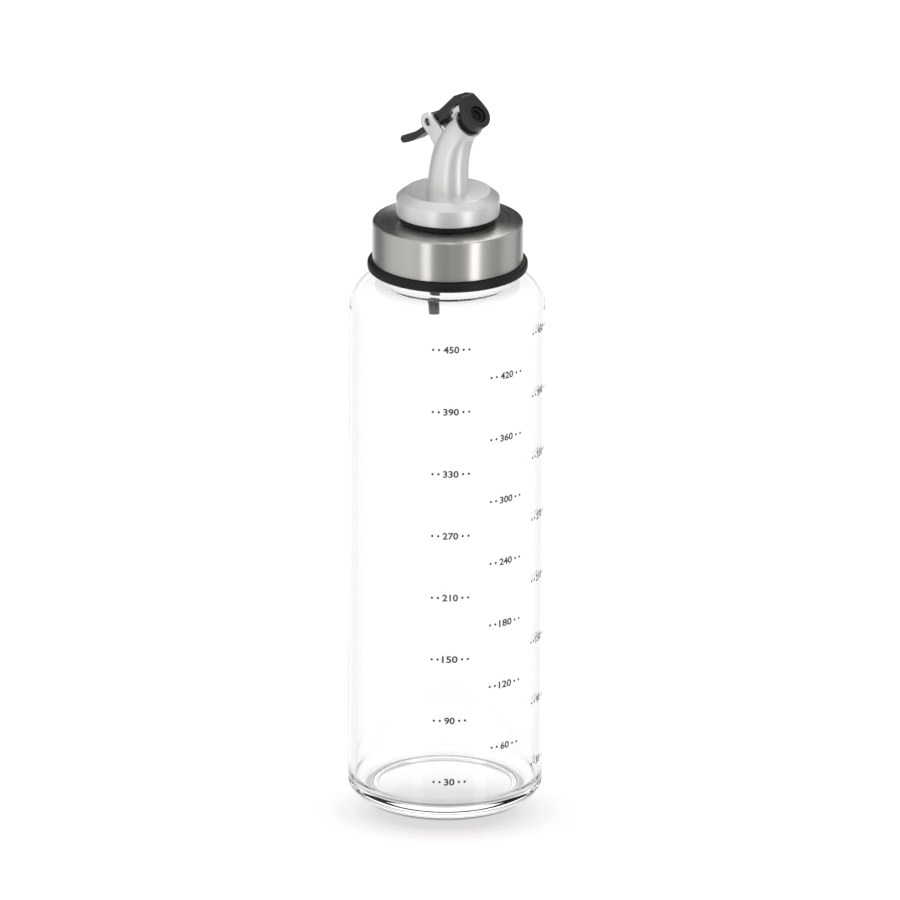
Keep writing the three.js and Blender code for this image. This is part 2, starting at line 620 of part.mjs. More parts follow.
// A torsion spring round the pin: one leg under the tab, the other on the spout's back.
function leverSpring() {
  const halfWidth = (COIL_TURNS * COIL_PITCH) / 2;
  const startAngle = TAB_ANGLE + Math.PI / 2;
  const point = (x, y, h) => new THREE.Vector3(PIVOT.x + x, y, PIVOT.z + h);
  const route = [
    point(-5.26, -halfWidth, -7.6),
    point(-3.26, -halfWidth, -5.8),
    point(-1.06, -halfWidth, -3.5),
  ];
  const steps = Math.round(16 * COIL_TURNS);
  for (let i = 0; i <= steps; i++) {
    const angle = startAngle + (i / steps) * COIL_TURNS * 2 * Math.PI;
    const across = -halfWidth + (i / steps) * 2 * halfWidth;
    route.push(point(COIL_R * Math.cos(angle), across, COIL_R * Math.sin(angle)));
  }
  const endAngle = startAngle + COIL_TURNS * 2 * Math.PI;
  const leaving = [-Math.sin(endAngle), Math.cos(endAngle)];
  const last = [COIL_R * Math.cos(endAngle), COIL_R * Math.sin(endAngle)];
  for (const s of [1.5, 3.3, 5]) {
    route.push(point(last[0] + s * leaving[0], halfWidth, last[1] + s * leaving[1]));
  }
  const wire = new THREE.Shape();
  wire.absarc(0, 0, WIRE_R, 0, 2 * Math.PI);
  const path = new THREE.CatmullRomCurve3(route);
  return solid(new THREE.ExtrudeGeometry(wire, { steps: steps + 8, extrudePath: path, curveSegments: 3 }));
}

// ---------------------------------------------------------------- finishes
const FINISH = {
  clearGlass: { color: "#eef4f3", roughness: 0.03, metalness: 0 },
  brushedSteel: { color: "#b3b1ad", roughness: 0.34, metalness: 1 },
  satinSilver: { color: "#c9cac6", roughness: 0.38, metalness: 0.9 },
  blackPlastic: { color: "#202021", roughness: 0.42, metalness: 0 },
  blackRubber: { color: "#1a1a1b", roughness: 0.6, metalness: 0 },
  clearSilicone: { color: "#d9dcdb", roughness: 0.5, metalness: 0 },
  bareSteel: { color: "#9a9a98", roughness: 0.3, metalness: 1 },
};

// ---------------------------------------------------------------- assembly
const PIECES = [
  ["glass_bottle", glassBottle, "clearGlass"],
  ["neck_gasket", neckGasket, "clearSilicone"],
  ["cap_shell", capShell, "brushedSteel"],
  ["cap_insert", capInsert, "blackPlastic"],
  ["base_gasket", baseGasket, "blackRubber"],
  ["stopper_plug", stopperPlug, "clearSilicone"],
  ["spout_shell", spoutShell, "satinSilver"],
  ["spout_core", spoutCore, "blackPlastic"],
  ["vent_tube", ventTube, "blackPlastic"],
  ["nozzle_tip", nozzleTip, "blackRubber"],
  ["pivot_pin", pivotPin, "bareSteel"],
  ["lever_spring", leverSpring, "bareSteel"],
  ["lever", lever, "blackPlastic"],
  ["lever_seal", leverSeal, "blackRubber"],
];

const bottle = new THREE.Group();
for (const [name, make, finish] of PIECES) {
  const { vertProperties, triVerts } = make().getMesh();
  const geometry = new THREE.BufferGeometry();
  geometry.setAttribute("position", new THREE.BufferAttribute(vertProperties, 3));
  geometry.setIndex(new THREE.BufferAttribute(triVerts, 1));
  geometry.computeVertexNormals();
  const mesh = new THREE.Mesh(geometry, new THREE.MeshStandardMaterial(FINISH[finish]));
  mesh.name = name;
  bottle.add(mesh);
}

export default bottle;
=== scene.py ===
"""Glass oil bottle with a screw cap and a push-lever pourer.

Metres, +Z up, the centre of the base at the origin and the spout pointing along +X.
Outlines and constants are in millimetres, and each piece is scaled once when it is finished.
"""

import math

import bmesh
import bpy
from bpy.props import FloatProperty, FloatVectorProperty, IntProperty, PointerProperty
from mathutils import Matrix, Vector


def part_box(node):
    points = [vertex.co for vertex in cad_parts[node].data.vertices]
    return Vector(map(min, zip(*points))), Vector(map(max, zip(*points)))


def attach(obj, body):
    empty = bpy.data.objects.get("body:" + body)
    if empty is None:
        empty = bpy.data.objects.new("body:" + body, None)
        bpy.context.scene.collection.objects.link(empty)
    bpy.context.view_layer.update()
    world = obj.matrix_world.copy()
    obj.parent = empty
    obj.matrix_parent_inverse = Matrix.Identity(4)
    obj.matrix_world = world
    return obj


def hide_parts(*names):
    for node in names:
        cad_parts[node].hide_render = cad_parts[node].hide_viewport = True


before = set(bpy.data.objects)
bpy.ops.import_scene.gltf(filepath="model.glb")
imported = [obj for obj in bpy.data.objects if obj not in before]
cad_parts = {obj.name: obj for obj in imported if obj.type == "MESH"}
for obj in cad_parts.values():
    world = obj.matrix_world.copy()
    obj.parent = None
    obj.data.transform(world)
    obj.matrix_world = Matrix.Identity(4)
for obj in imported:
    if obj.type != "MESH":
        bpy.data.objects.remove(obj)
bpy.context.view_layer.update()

bl_info = {
    "name": "Glass Oil Bottle",
    "version": (1, 0, 0),
    "blender": (4, 5, 0),
    "location": "3D View > Sidebar > Oil Bottle",
    "description": "Builds a glass oil bottle, its screw cap and its push-lever pourer",
    "category": "Add Mesh",
}

MM = 0.001
TURN_STEPS = 160
ARC_STEP = math.radians(10)
SHARP = math.radians(32)


# ---------------------------------------------------------------- places taken from the frame
def edge(node, high, axis):
    """One side of a CAD node's box, in millimetres."""
    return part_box(node)[1 if high else 0]["xyz".index(axis)] / MM


def middle(node):
    low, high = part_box(node)
    return (low + high) / (2 * MM)


BODY_R = edge("glass_bottle", True, "x")
RIM_Z = edge("glass_bottle", True, "z")
SHELL_R = edge("cap_shell", True, "x")
SHELL_TOP = edge("cap_shell", True, "z")
SHELL_LOW = edge("cap_shell", False, "z")
LIP_R = edge("cap_insert", True, "x")
LIP_LOW = edge("cap_insert", False, "z")
INSERT_TOP = edge("cap_insert", True, "z")
RING_R = edge("base_gasket", True, "x")
RING_LOW = edge("base_gasket", False, "z")
RING_TOP = edge("base_gasket", True, "z")
DISC_R = edge("spout_shell", True, "x")
DISC_LOW = edge("spout_shell", False, "z")
PLUG_LOW = edge("stopper_plug", False, "z")
PLUG_TOP = edge("stopper_plug", True, "z")
PLUG_R = edge("stopper_plug", True, "x")
VENT_LOW = edge("vent_tube", False, "z")
VENT_TOP = edge("vent_tube", True, "z")
VENT_X = middle("vent_tube").x
PIVOT = middle("pivot_pin")
PIN_HALF = edge("pivot_pin", True, "y")

# ---------------------------------------------------------------- sizes, in millimetres
WALL = 2.1
SHOULDER_Z = 168.5
SHOULDER_H = 10.2
BASE_ROUND = 4.6
FLOOR_Z = 3.6
NECK_R = 20.2
NECK_Z = 180.3
THREAD_PITCH = 4
THREAD_H = 0.8
THREAD_TURNS = 1.25
THREAD_Z = 184.6
CAP_BORE_R = 21.3
PLATE_Z = 195.6
PLUG_BORE_R = 12.4
DISC_TOP = DISC_LOW + 7.8
SPOUT_H = 25.4
MOUTH = Vector((9.6, 0, DISC_TOP + SPOUT_H))
TILT = math.radians(38)
AHEAD = Vector((math.cos(TILT), 0, math.sin(TILT)))
ABOVE = Vector((-math.sin(TILT), 0, math.cos(TILT)))
MOUTH_R = 5.2
SPOUT_WALL = 0.8
NOZZLE_R = 3.95
NOZZLE_OUT = 1.7
HEAD_R = 4.75
HEAD_BACK = 2.3
HEAD_T = 3.1
HEAD_RISE = 0.4
ARM_HALF = 2.7
NECK_FILLET = 1.6
COVER_T = 0.6
LIP_H = 3.1
PLUG_COLLAR_H = 9.5
RING_BORE_R = 9.4
SEAL_WIDTH = 3.2
FINS = 3
FIN_T = 1.2
FIN_DEPTH = 1.25
PLUG_WALL = 1.6
VENT_R = 1.75
VENT_BORE_R = 1.15
DISC_SIDE_H = 5.5
DISC_SLOPE = 2.95
DISC_WALL = 1.3
SPOUT_ROOT_L = 7.5
SPOUT_ROOT_W = 6.1
EAR_R = 3
EAR_HOLE_R = 1.3
EAR_IN = 3.1
EAR_OUT = 4.5
ARM_T = 2.4
ARM_START = (0.84, 1.8)  # the arm's upper line, from the pin
ARM_END = (10.54, 11.1)
HUB_R = 2.6
PIN_R = 0.9
PIN_RECESS = 0.9
COIL_R = 1.55
COIL_TURNS = 3.744
COIL_HALF = 1.31
COIL_START = math.radians(309)
SPRING_WIRE_R = 0.3

SCALE_ML = 0.3569  # height of one millilitre in the bottle
SCALE_30 = 14.1
MARK_STEP = 60
PRINT_H = 2.44
PRINT_LIFT = 0.03
DOT_PLACES = (1.42, 3.36)
COLUMNS = ((-42.5, 30), (-7.4, 60), (26.6, 30))  # angle round the bottle, lowest mark

# ---------------------------------------------------------------- the studio's numbers
LENS = 610.7  # millimetres
CAMERA_ROLL = math.radians(0.3)
TARGET = Vector((0, 0, 0.1183))  # metres
TARGET_RIGHT = 0.0011  # metres
FLOOR_HALF = 6  # metres
# soft boxes and grey walls in what the gloss reflects: degrees from the front, brightness
WALLS = (
    (-180, 0.07), (-160, 0.08), (-146, 0.36), (-130, 0.28), (-120, 0.34), (-108, 0.62),
    (-90, 0.78), (-60, 0.82), (-42, 0.72), (-38, 1.6), (-28, 1.6), (-24.5, 0.50), (-15, 0.42),
    (0, 0.38), (7, 0.48), (14, 0.42), (26, 0.50), (34, 0.62), (37, 2.0), (48, 2.0), (52, 0.80),
    (62, 0.62), (70, 0.50), (84, 0.40), (98, 0.64), (118, 0.68), (126, 0.58), (134, 0.34),
    (148, 0.28), (160, 0.08), (180, 0.07),
)
CEILING_LIGHT = 0.8
CEILING_HEIGHT = (0.62, 0.86)  # where the walls have begun and finished turning into ceiling
FLOOR_LIGHT = 1.0
FLOOR_HEIGHT = (-0.02, -0.22)
BACK = ((0, 1), (0.06, 1), (0.1, 0), (0.9, 0), (0.94, 1), (1, 1))  # share of a turn, weight
WINDOW_LIGHT = 5.0
WINDOW_HEIGHT = (0.44, 0.56)
WINDOW = ((0, 0), (0.955, 0), (0.965, 1), (0.992, 1), (0.999, 0))  # share of a turn, weight
# the painted shade on the floor, a shadow painted in front of the foot of the glass: millimetres
# from its middle, paleness
PAINTED_FLOOR_SHADE = (
    (0, 0.52), (15, 0.57), (20.5, 0.66), (23.5, 0.72), (29.5, 0.785), (35.5, 0.83), (44, 0.88),
)
PAINTED_SHADE_TINT = (1.0, 0.985, 0.985)
PAINTED_SHADE_AHEAD = 21.5  # how far the painted shade lies in front of the bottle
PAINTED_SHADE_SQUEEZE = 0.74  # below 1, the painted shade is wider than it is deep
# the painted contact shadow, a dark line painted under the foot: millimetres from its middle,
# paleness
PAINTED_CONTACT_SHADOW = ((0, 1), (23.4, 1), (24.8, 0.44), (26.4, 0.46), (27.6, 1))
PAINTED_CONTACT_AHEAD = 3
# how far from its middle the painted shade and the painted contact shadow reach, in millimetres
PAINTED_SHADE_REACH = 100
GLOSSY_BOUNCES = 12


class BottleSettings(bpy.types.PropertyGroup):
    """Finishes and printing of the bottle."""

    glass_tint: FloatVectorProperty(
        name="Glass Tint", description="Colour of light that crosses the glass wall",
        subtype="COLOR", size=3, min=0, max=1, default=(0.957, 0.963, 0.967),
    )
    ink_colour: FloatVectorProperty(
        name="Ink Colour", description="Colour of the printed scale",
        subtype="COLOR", size=3, min=0, max=1, default=(0.035, 0.036, 0.04),
    )
    print_width: FloatProperty(
        name="Dot Size", description="Diameter of the printed dots",
        subtype="DISTANCE", unit="LENGTH", min=0, default=0.00084,
    )
    full_scale: IntProperty(
        name="Full Scale", description="Highest printed mark, in millilitres",
        min=60, default=450,
    )


class PourerSettings(bpy.types.PropertyGroup):
    """Finishes of the cap and the pourer."""

    steel_colour: FloatVectorProperty(
        name="Steel Colour", description="Colour of the brushed cap cover",
        subtype="COLOR", size=3, min=0, max=1, default=(0.60, 0.585, 0.56),
    )
    silver_colour: FloatVectorProperty(
        name="Silver Colour", description="Colour of the satin silver moulding",
        subtype="COLOR", size=3, min=0, max=1, default=(0.77, 0.77, 0.755),
    )
    black_colour: FloatVectorProperty(
        name="Black Colour", description="Colour of the black mouldings",
        subtype="COLOR", size=3, min=0, max=1, default=(0.0075, 0.0072, 0.0074),
    )
    edge_rounding: FloatProperty(
        name="Edge Rounding", description="Rounding of the moulded edges",
        subtype="DISTANCE", unit="LENGTH", min=0, default=0.0003,
    )


class StudioSettings(bpy.types.PropertyGroup):
    """Camera and light."""

    azimuth: FloatProperty(
        name="Azimuth", description="Camera's place round the bottle",
        subtype="ANGLE", unit="ROTATION", default=math.radians(45),
    )
    elevation: FloatProperty(
        name="Elevation", description="Camera's height above the horizon",
        subtype="ANGLE", unit="ROTATION", default=math.radians(19.5),
    )
    distance: FloatProperty(
        name="Distance", description="Camera's distance from the bottle",
        subtype="DISTANCE", unit="LENGTH", default=5.0,
    )
    brightness: FloatProperty(
        name="Brightness", description="Brightness of the white surroundings",
        min=0, default=1.3,
    )


# ---------------------------------------------------------------- outlines
def arc(centre, radii, start, end, steps=14):
    """Points on an ellipse's arc, angles in degrees."""
    points = []
    for i in range(steps + 1):
        angle = math.radians(start + (end - start) * i / steps)
        points.append((
            centre[0] + radii[0] * math.cos(angle),
            centre[1] + radii[1] * math.sin(angle),
        ))
    return points


def rounded(corners):
    """A closed outline of (x, y) or (x, y, radius) corners with its corners rounded."""
    points = []
    count = len(corners)
    for i, corner in enumerate(corners):
        here = Vector(corner[:2])
        radius = corner[2] if len(corner) > 2 else 0
        before = (Vector(corners[i - 1][:2]) - here).normalized()
        after = (Vector(corners[(i + 1) % count][:2]) - here).normalized()
        if not radius:
            points.append(tuple(here))
            continue
        half = before.angle(after) / 2
        centre = here + (before + after).normalized() * radius / math.sin(half)
        first = here + before * radius / math.tan(half) - centre
        last = here + after * radius / math.tan(half) - centre
        turn = math.atan2(first.x * last.y - first.y * last.x, first.dot(last))
        steps = max(2, math.ceil(abs(turn) / ARC_STEP))
        for k in range(steps + 1):
            angle = math.atan2(first.y, first.x) + turn * k / steps
            points.append((
                centre.x + radius * math.cos(angle),
                centre.y + radius * math.sin(angle),
            ))
    return points


# ---------------------------------------------------------------- mesh helpers
def turned(outline, steps=TURN_STEPS):
    """A solid made by spinning an outline of (radius, height) points round Z."""
    bm = bmesh.new()
    verts = [bm.verts.new((max(r, 0), 0, z)) for r, z in outline]
    pairs = list(zip(verts, verts[1:]))
    if outline[0][0] > 0 or outline[-1][0] > 0:
        pairs.append((verts[-1], verts[0]))
    edges = [bm.edges.new(pair) for pair in pairs]
    bmesh.ops.spin(
        bm, geom=verts + edges, cent=(0, 0, 0), axis=(0, 0, 1),
        angle=2 * math.pi, steps=steps, use_merge=True,
    )
    bmesh.ops.remove_doubles(bm, verts=bm.verts, dist=1e-5)
    bmesh.ops.recalc_face_normals(bm, faces=bm.faces)
    return bm


def plate(outlines, low, high, bevel=0.0, segments=3):
    """Outlines of (x, z) points that share edges, made a plate from y low to y high."""
    bm = bmesh.new()
    for outline in outlines:
        bm.faces.new([bm.verts.new((x, low, z)) for x, z in outline])
    bmesh.ops.remove_doubles(bm, verts=bm.verts, dist=1e-5)
    made = bmesh.ops.extrude_face_region(bm, geom=bm.faces[:])["geom"]
    moved = [v for v in made if isinstance(v, bmesh.types.BMVert)]
    bmesh.ops.translate(bm, vec=(0, high - low, 0), verts=moved)
    bmesh.ops.recalc_face_normals(bm, faces=bm.faces)
    if bevel:
        flat = [
            e for e in bm.edges
            if e.is_manifold and abs(e.verts[0].co.y - e.verts[1].co.y) < 1e-6
        ]
        rim = [e for e in flat if e.calc_face_angle() > math.radians(60)]
        bmesh.ops.bevel(
            bm, geom=rim, offset=bevel, offset_type="OFFSET", segments=segments,
            profile=0.5, affect="EDGES", material=-1, clamp_overlap=True,
        )
    return bm


def skin(rings, closed_ends=True):
    """A skin through rings of points. Each ring has the same number of points."""
    bm = bmesh.new()
    ring = bmesh.ops.create_circle(bm, segments=len(rings[0]), radius=1)["verts"]
    first = None
    for i, points in enumerate(rings):
        if i:
            edges = [bm.edges.get(pair) for pair in zip(ring, ring[1:] + ring[:1])]
            first = first or edges
            made = bmesh.ops.extrude_edge_only(bm, edges=edges)["geom"]
            fresh = {v for v in made if isinstance(v, bmesh.types.BMVert)}
            ring = [
                next(e.other_vert(v) for e in v.link_edges if e.other_vert(v) in fresh)
                for v in ring
            ]
        for vert, point in zip(ring, points):
            vert.co = point
    last = [bm.edges.get(pair) for pair in zip(ring, ring[1:] + ring[:1])]
    if closed_ends:
        bmesh.ops.holes_fill(bm, edges=first + last, sides=0)
    else:
        bmesh.ops.bridge_loops(bm, edges=first + last)
    bmesh.ops.recalc_face_normals(bm, faces=bm.faces)
    return bm


def wire(route, radius, sides=12):
    """A round wire along a route of points."""
    rings = []
    for i, point in enumerate(route):
        along = (route[min(i + 1, len(route) - 1)] - route[max(i - 1, 0)]).normalized()
        side = along.cross(Vector((0, 0, 1)) if abs(along.z) < 0.9 else Vector((1, 0, 0)))
        if rings:
            side = last_side - along * last_side.dot(along)
        side.normalize()
        last_side = side
        up = along.cross(side)
        turn = [2 * math.pi * k / sides for k in range(sides)]
        rings.append([
            point + radius * (side * math.cos(a) + up * math.sin(a)) for a in turn
        ])
    return skin(rings)


def joined(*parts):
    """One mesh that holds several shells."""
    whole = bmesh.new()
    for part in parts:
        mesh = bpy.data.meshes.new("part")
        part.to_mesh(mesh)
        part.free()
        whole.from_mesh(mesh)
        bpy.data.meshes.remove(mesh)
    return whole


def in_order(bm):
    """The same mesh, with its points and faces in an order that is the same in every run."""
    verts = sorted(bm.verts, key=lambda v: v.co[:])
    number = {vert: i for i, vert in enumerate(verts)}
    ordered = bmesh.new()
    copies = [ordered.verts.new(vert.co) for vert in verts]
    faces = []
    for face in bm.faces:
        corners = [number[vert] for vert in face.verts]
        first = corners.index(min(corners))
        faces.append(corners[first:] + corners[:first])
    for corners in sorted(faces):
        ordered.faces.new([copies[i] for i in corners])
    ordered.normal_update()
    bm.free()
    return ordered


def combined(base, other, operation):
    """A solid made of two by a boolean operation."""
    objects = []
    for bm in (in_order(base), in_order(other)):
        mesh = bpy.data.meshes.new("solid")
        bm.to_mesh(mesh)
        bm.free()
        made = bpy.data.objects.new("solid", mesh)
        bpy.context.scene.collection.objects.link(made)
        objects.append(made)
    change = objects[0].modifiers.new("combine", "BOOLEAN")
    change.operation = operation
    change.solver = "EXACT"
    change.object = objects[1]
    depsgraph = bpy.context.evaluated_depsgraph_get()
    result = bmesh.new()
    result.from_object(objects[0], depsgraph)
    for made in objects:
        mesh = made.data
        bpy.data.objects.remove(made)
        bpy.data.meshes.remove(mesh)
    if not result.faces:
        raise RuntimeError("a boolean left nothing")
    return result


def shift(bm, x):
    bmesh.ops.translate(bm, vec=(x, 0, 0), verts=bm.verts)
    return bm


def at_mouth(bm, rise=0):
    """Moves a solid drawn round +Z to the mouth, so that +Z points out of the spout."""
    side = ABOVE.cross(AHEAD)
    place = Matrix((side, ABOVE, AHEAD)).transposed().to_4x4()
    place.translation = MOUTH + ABOVE * rise
    bmesh.ops.transform(bm, matrix=place, verts=bm.verts)
    return bm


def facing_mouth(bm, rise=0):
    """Moves a plate to the mouth: its x goes sideways, its y out of the spout and its z up."""
    place = Matrix((AHEAD.cross(ABOVE), AHEAD, ABOVE)).transposed().to_4x4()
    place.translation = MOUTH + ABOVE * rise
    bmesh.ops.transform(bm, matrix=place, verts=bm.verts)
    return bm


def at_pin(bm):
    """Moves a solid drawn round +Z to the pin, with its axis along the pin."""
    turn = Matrix.Rotation(math.pi / 2, 4, "X")
    bmesh.ops.transform(bm, matrix=Matrix.Translation(PIVOT) @ turn, verts=bm.verts)
    return bm


def ridge(bm, root_r, height, start_z, width=0.95):
    """Raises a helical thread on the wall of radius root_r."""
    for vert in bm.verts:
        x, y, z = vert.co
        radius = math.hypot(x, y)
        if abs(radius - root_r) > 0.02:
            continue
        turn = math.atan2(y, x) / (2 * math.pi) % 1
        for whole in range(2):
            along = (turn + whole) / THREAD_TURNS
            if along > 1:
                continue
            off = abs(z - start_z - along * THREAD_TURNS * THREAD_PITCH) / width
            if off >= 1:
                continue
            fade = min(1, 8 * along, 8 * (1 - along))
            lift = height * fade * (1 - off ** 3)
            vert.co.x *= (radius + lift) / radius
            vert.co.y *= (radius + lift) / radius


def finish_piece(name, bm, material, body, replaces=(), sharp=SHARP):
    """Turns a solid in millimetres into a piece that rides on a body."""
    bmesh.ops.scale(bm, vec=(MM, MM, MM), verts=bm.verts)
    bm = in_order(bm)
    for face in bm.faces:
        face.smooth = True
    for line in bm.edges:
        line.smooth = line.is_manifold and line.calc_face_angle() < sharp
    mesh = bpy.data.meshes.new(name)
    bm.to_mesh(mesh)
    bm.free()
    piece = bpy.data.objects.new(name, mesh)
    bpy.context.scene.collection.objects.link(piece)
    mesh.materials.append(material)
    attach(piece, body)
    if replaces:
        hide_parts(*replaces)
    return piece


def smooth_thread(low, high, radius, rows=40):
    """Points up a wall, close enough together for a thread to stand on it."""
    return [(radius, low + (high - low) * i / rows) for i in range(rows + 1)]


# ---------------------------------------------------------------- materials
def new_material(name, colour, **values):
    material = bpy.data.materials.new(name)
    material.use_nodes = True
    shader = material.node_tree.nodes["Principled BSDF"]
    shader.inputs["Base Color"].default_value = (*colour, 1)
    for label, value in values.items():
        shader.inputs[label.replace("_", " ")].default_value = value
    return material, material.node_tree, shader


def add_node(tree, kind, settings=(), values=(), links=()):
    """Adds a node with its settings, its socket values and its incoming links."""
    node = tree.nodes.new(kind)
    for label, value in dict(settings).items():
        setattr(node, label, value)
    for label, value in dict(values).items():
        node.inputs[label].default_value = value
    for label, source in dict(links).items():
        tree.links.new(source, node.inputs[label])
    return node


def grain(tree, scale, detail=3.0, stretch=(1, 1, 1), roughness=0.5):
    """Noise on Object coordinates. Scale is in features per metre."""
    place = add_node(tree, "ShaderNodeTexCoord")
    mapping = add_node(
        tree, "ShaderNodeMapping", values={"Scale": stretch},
        links={"Vector": place.outputs["Object"]},
    )
    return add_node(
        tree, "ShaderNodeTexNoise",
        values={"Scale": scale, "Detail": detail, "Roughness": roughness},
        links={"Vector": mapping.outputs["Vector"]},
    ).outputs["Fac"]


def feed(tree, socket, source):
    """Links another node's output to a socket, or sets the socket to a plain value."""
    if isinstance(source, bpy.types.NodeSocket):
        tree.links.new(source, socket)
    else:
        socket.default_value = source


def ranged(tree, source, start, end, low=0.0, high=1.0):
    """Maps start to end onto low to high, and holds the value beyond them."""
    return add_node(
        tree, "ShaderNodeMapRange",
        values={"From Min": start, "From Max": end, "To Min": low, "To Max": high},
        links={"Value": source},
    ).outputs["Result"]


def spread(tree, source, low, high):
    """Maps a 0 to 1 value onto low to high."""
    return ranged(tree, source, 0.0, 1.0, low, high)


def reckon(tree, operation, first, second, clamp=False):
    """A sum on two values, each a number or another node's output."""
    node = add_node(tree, "ShaderNodeMath", settings={"operation": operation, "use_clamp": clamp})
    feed(tree, node.inputs[0], first)
    feed(tree, node.inputs[1], second)
    return node.outputs["Value"]


def length_of(tree, vector):
    return add_node(
        tree, "ShaderNodeVectorMath", settings={"operation": "LENGTH"}, links={"Vector": vector},
    ).outputs["Value"]


def spun(tree, vector, angle):
    """A vector turned round Z."""
    return add_node(
        tree, "ShaderNodeVectorRotate", settings={"rotation_type": "Z_AXIS"},
        values={"Angle": angle}, links={"Vector": vector},
    ).outputs["Vector"]


def mixed_colour(tree, factor, first, second, blend="MIX"):
    """Two colours mixed, each a plain colour or another node's output."""
    node = add_node(
        tree, "ShaderNodeMix", settings={"data_type": "RGBA", "blend_type": blend},
    )
    feed(tree, node.inputs["Factor"], factor)
    colours = [socket for socket in node.inputs if socket.type == "RGBA"]
    feed(tree, colours[0], first)
    feed(tree, colours[1], second)
    return next(socket for socket in node.outputs if socket.type == "RGBA")


def tone(tree, shader, source, dark, light):
    """Varies the shader's base colour from dark to light by a 0 to 1 value."""
    colour = mixed_colour(tree, source, (*dark, 1), (*light, 1))
    tree.links.new(colour, shader.inputs["Base Color"])


def ramp_of(tree, source, stops, tint=(1, 1, 1)):
    """A colour ramp through (place, brightness) stops."""
    ramp = add_node(tree, "ShaderNodeValToRGB", links={"Fac": source})
    ramp.color_ramp.interpolation = "EASE"
    elements = ramp.color_ramp.elements
    elements.remove(elements[-1])
    for i, (place, value) in enumerate(stops):
        stop = elements[0] if i == 0 else elements.new(place)
        stop.position = place
        stop.color = (value * tint[0], value * tint[1], value * tint[2], 1)
    return ramp.outputs["Color"]


def relief(tree, shader, source, strength, depth):
    bump = add_node(
        tree, "ShaderNodeBump", values={"Strength": strength, "Distance": depth},
        links={"Height": source},
    )
    tree.links.new(bump.outputs["Normal"], shader.inputs["Normal"])


def scaled(colour, factor):
    return tuple(min(1, c * factor) for c in colour)


def clear_glass(colour):
    material, tree, shader = new_material(
        "glass_finish", colour, Roughness=0.0, IOR=1.42, Transmission_Weight=1.0,
    )
    waves = grain(tree, 38, detail=1.0, stretch=(1, 1, 0.35))
    relief(tree, shader, waves, 0.06, 0.0006)
    tree.links.new(spread(tree, grain(tree, 90), 0.0, 0.012), shader.inputs["Roughness"])
    return material


def scale_ink(colour):
    material, tree, shader = new_material("ink_finish", colour, Roughness=0.55)
    specks = grain(tree, 5200, detail=2)
    tone(tree, shader, specks, scaled(colour, 0.7), scaled(colour, 1.7))
    return material


def brushed_steel(colour):
    """Brush lines run round the side and in circles on the top."""
    material, tree, shader = new_material(
        "steel_finish", colour, Metallic=1.0, Roughness=0.28, Anisotropic=0.9,
        Anisotropic_Rotation=0.25,
    )
    place = add_node(tree, "ShaderNodeTexCoord").outputs["Object"]
    split = add_node(tree, "ShaderNodeSeparateXYZ", links={"Vector": place})
    across, deep, height = (split.outputs[axis] for axis in "XYZ")
    flat = add_node(tree, "ShaderNodeCombineXYZ", links={"X": across, "Y": deep})
    lines = add_node(tree, "ShaderNodeCombineXYZ", links={
        "X": length_of(tree, flat.outputs["Vector"]), "Y": height,
        "Z": reckon(tree, "ADD", across, deep),
    })
    squeeze = add_node(
        tree, "ShaderNodeMapping", values={"Scale": (5200, 5200, 90)},
        links={"Vector": lines.outputs["Vector"]},
    )
    brush = add_node(
        tree, "ShaderNodeTexNoise", values={"Scale": 1.0, "Detail": 4.0, "Roughness": 0.6},
        links={"Vector": squeeze.outputs["Vector"]},
    ).outputs["Fac"]
    tone(tree, shader, brush, scaled(colour, 0.86), scaled(colour, 1.12))
    tree.links.new(spread(tree, brush, 0.22, 0.35), shader.inputs["Roughness"])
    relief(tree, shader, brush, 0.045, 0.00003)
    tangent = add_node(
        tree, "ShaderNodeTangent", settings={"direction_type": "RADIAL", "axis": "Z"},
    )
    tree.links.new(tangent.outputs["Tangent"], shader.inputs["Tangent"])
    return material


def satin_silver(colour):
    material, tree, shader = new_material(
        "silver_finish", colour, Metallic=0.75, Roughness=0.34, Specular_IOR_Level=0.5,
    )
    speckle = grain(tree, 9000, detail=2)
    cloud = grain(tree, 160, detail=2)
    tone(tree, shader, cloud, scaled(colour, 0.965), scaled(colour, 1.03))
    tree.links.new(spread(tree, speckle, 0.31, 0.41), shader.inputs["Roughness"])
    relief(tree, shader, speckle, 0.12, 0.00002)
    return material


def black_plastic(colour, name="black_finish", rough=(0.3, 0.42), strength=0.25, gloss=0.5):
    """Moulded plastic, or rubber where the roughness is high and the gloss low."""
    material, tree, shader = new_material(name, colour, Roughness=0.4, Specular_IOR_Level=gloss)
    texture = grain(tree, 3800, detail=3)
    tone(tree, shader, grain(tree, 700, detail=4), scaled(colour, 0.75), scaled(colour, 1.4))
    tree.links.new(spread(tree, texture, *rough), shader.inputs["Roughness"])
    relief(tree, shader, texture, strength, 0.00003)
    return material


def black_rubber(colour):
    return black_plastic(colour, "rubber_finish", rough=(0.42, 0.55), gloss=0.25)


def grey_plastic():
    return black_plastic((0.05, 0.05, 0.052), "grey_finish", rough=(0.3, 0.38), strength=0.1)


def clear_silicone():
    material, tree, shader = new_material(
        "silicone_finish", (0.80, 0.82, 0.81), Roughness=0.42, Subsurface_Weight=0.35,
        Subsurface_Scale=0.0012, IOR=1.41,
    )
    cloud = grain(tree, 420, detail=3)
    tone(tree, shader, cloud, (0.74, 0.765, 0.755), (0.84, 0.855, 0.85))
    relief(tree, shader, grain(tree, 2600), 0.15, 0.00003)
    return material


def bare_steel():
    material, tree, shader = new_material(
        "bare_finish", (0.55, 0.54, 0.52), Metallic=1.0, Roughness=0.25,
    )
    scratches = grain(tree, 2400, detail=4, stretch=(1, 5, 1))
    tree.links.new(spread(tree, scratches, 0.18, 0.36), shader.inputs["Roughness"])
    relief(tree, shader, scratches, 0.1, 0.00002)
    return material


def material_named(name, make, *values):
    return bpy.data.materials.get(name) or make(*values)


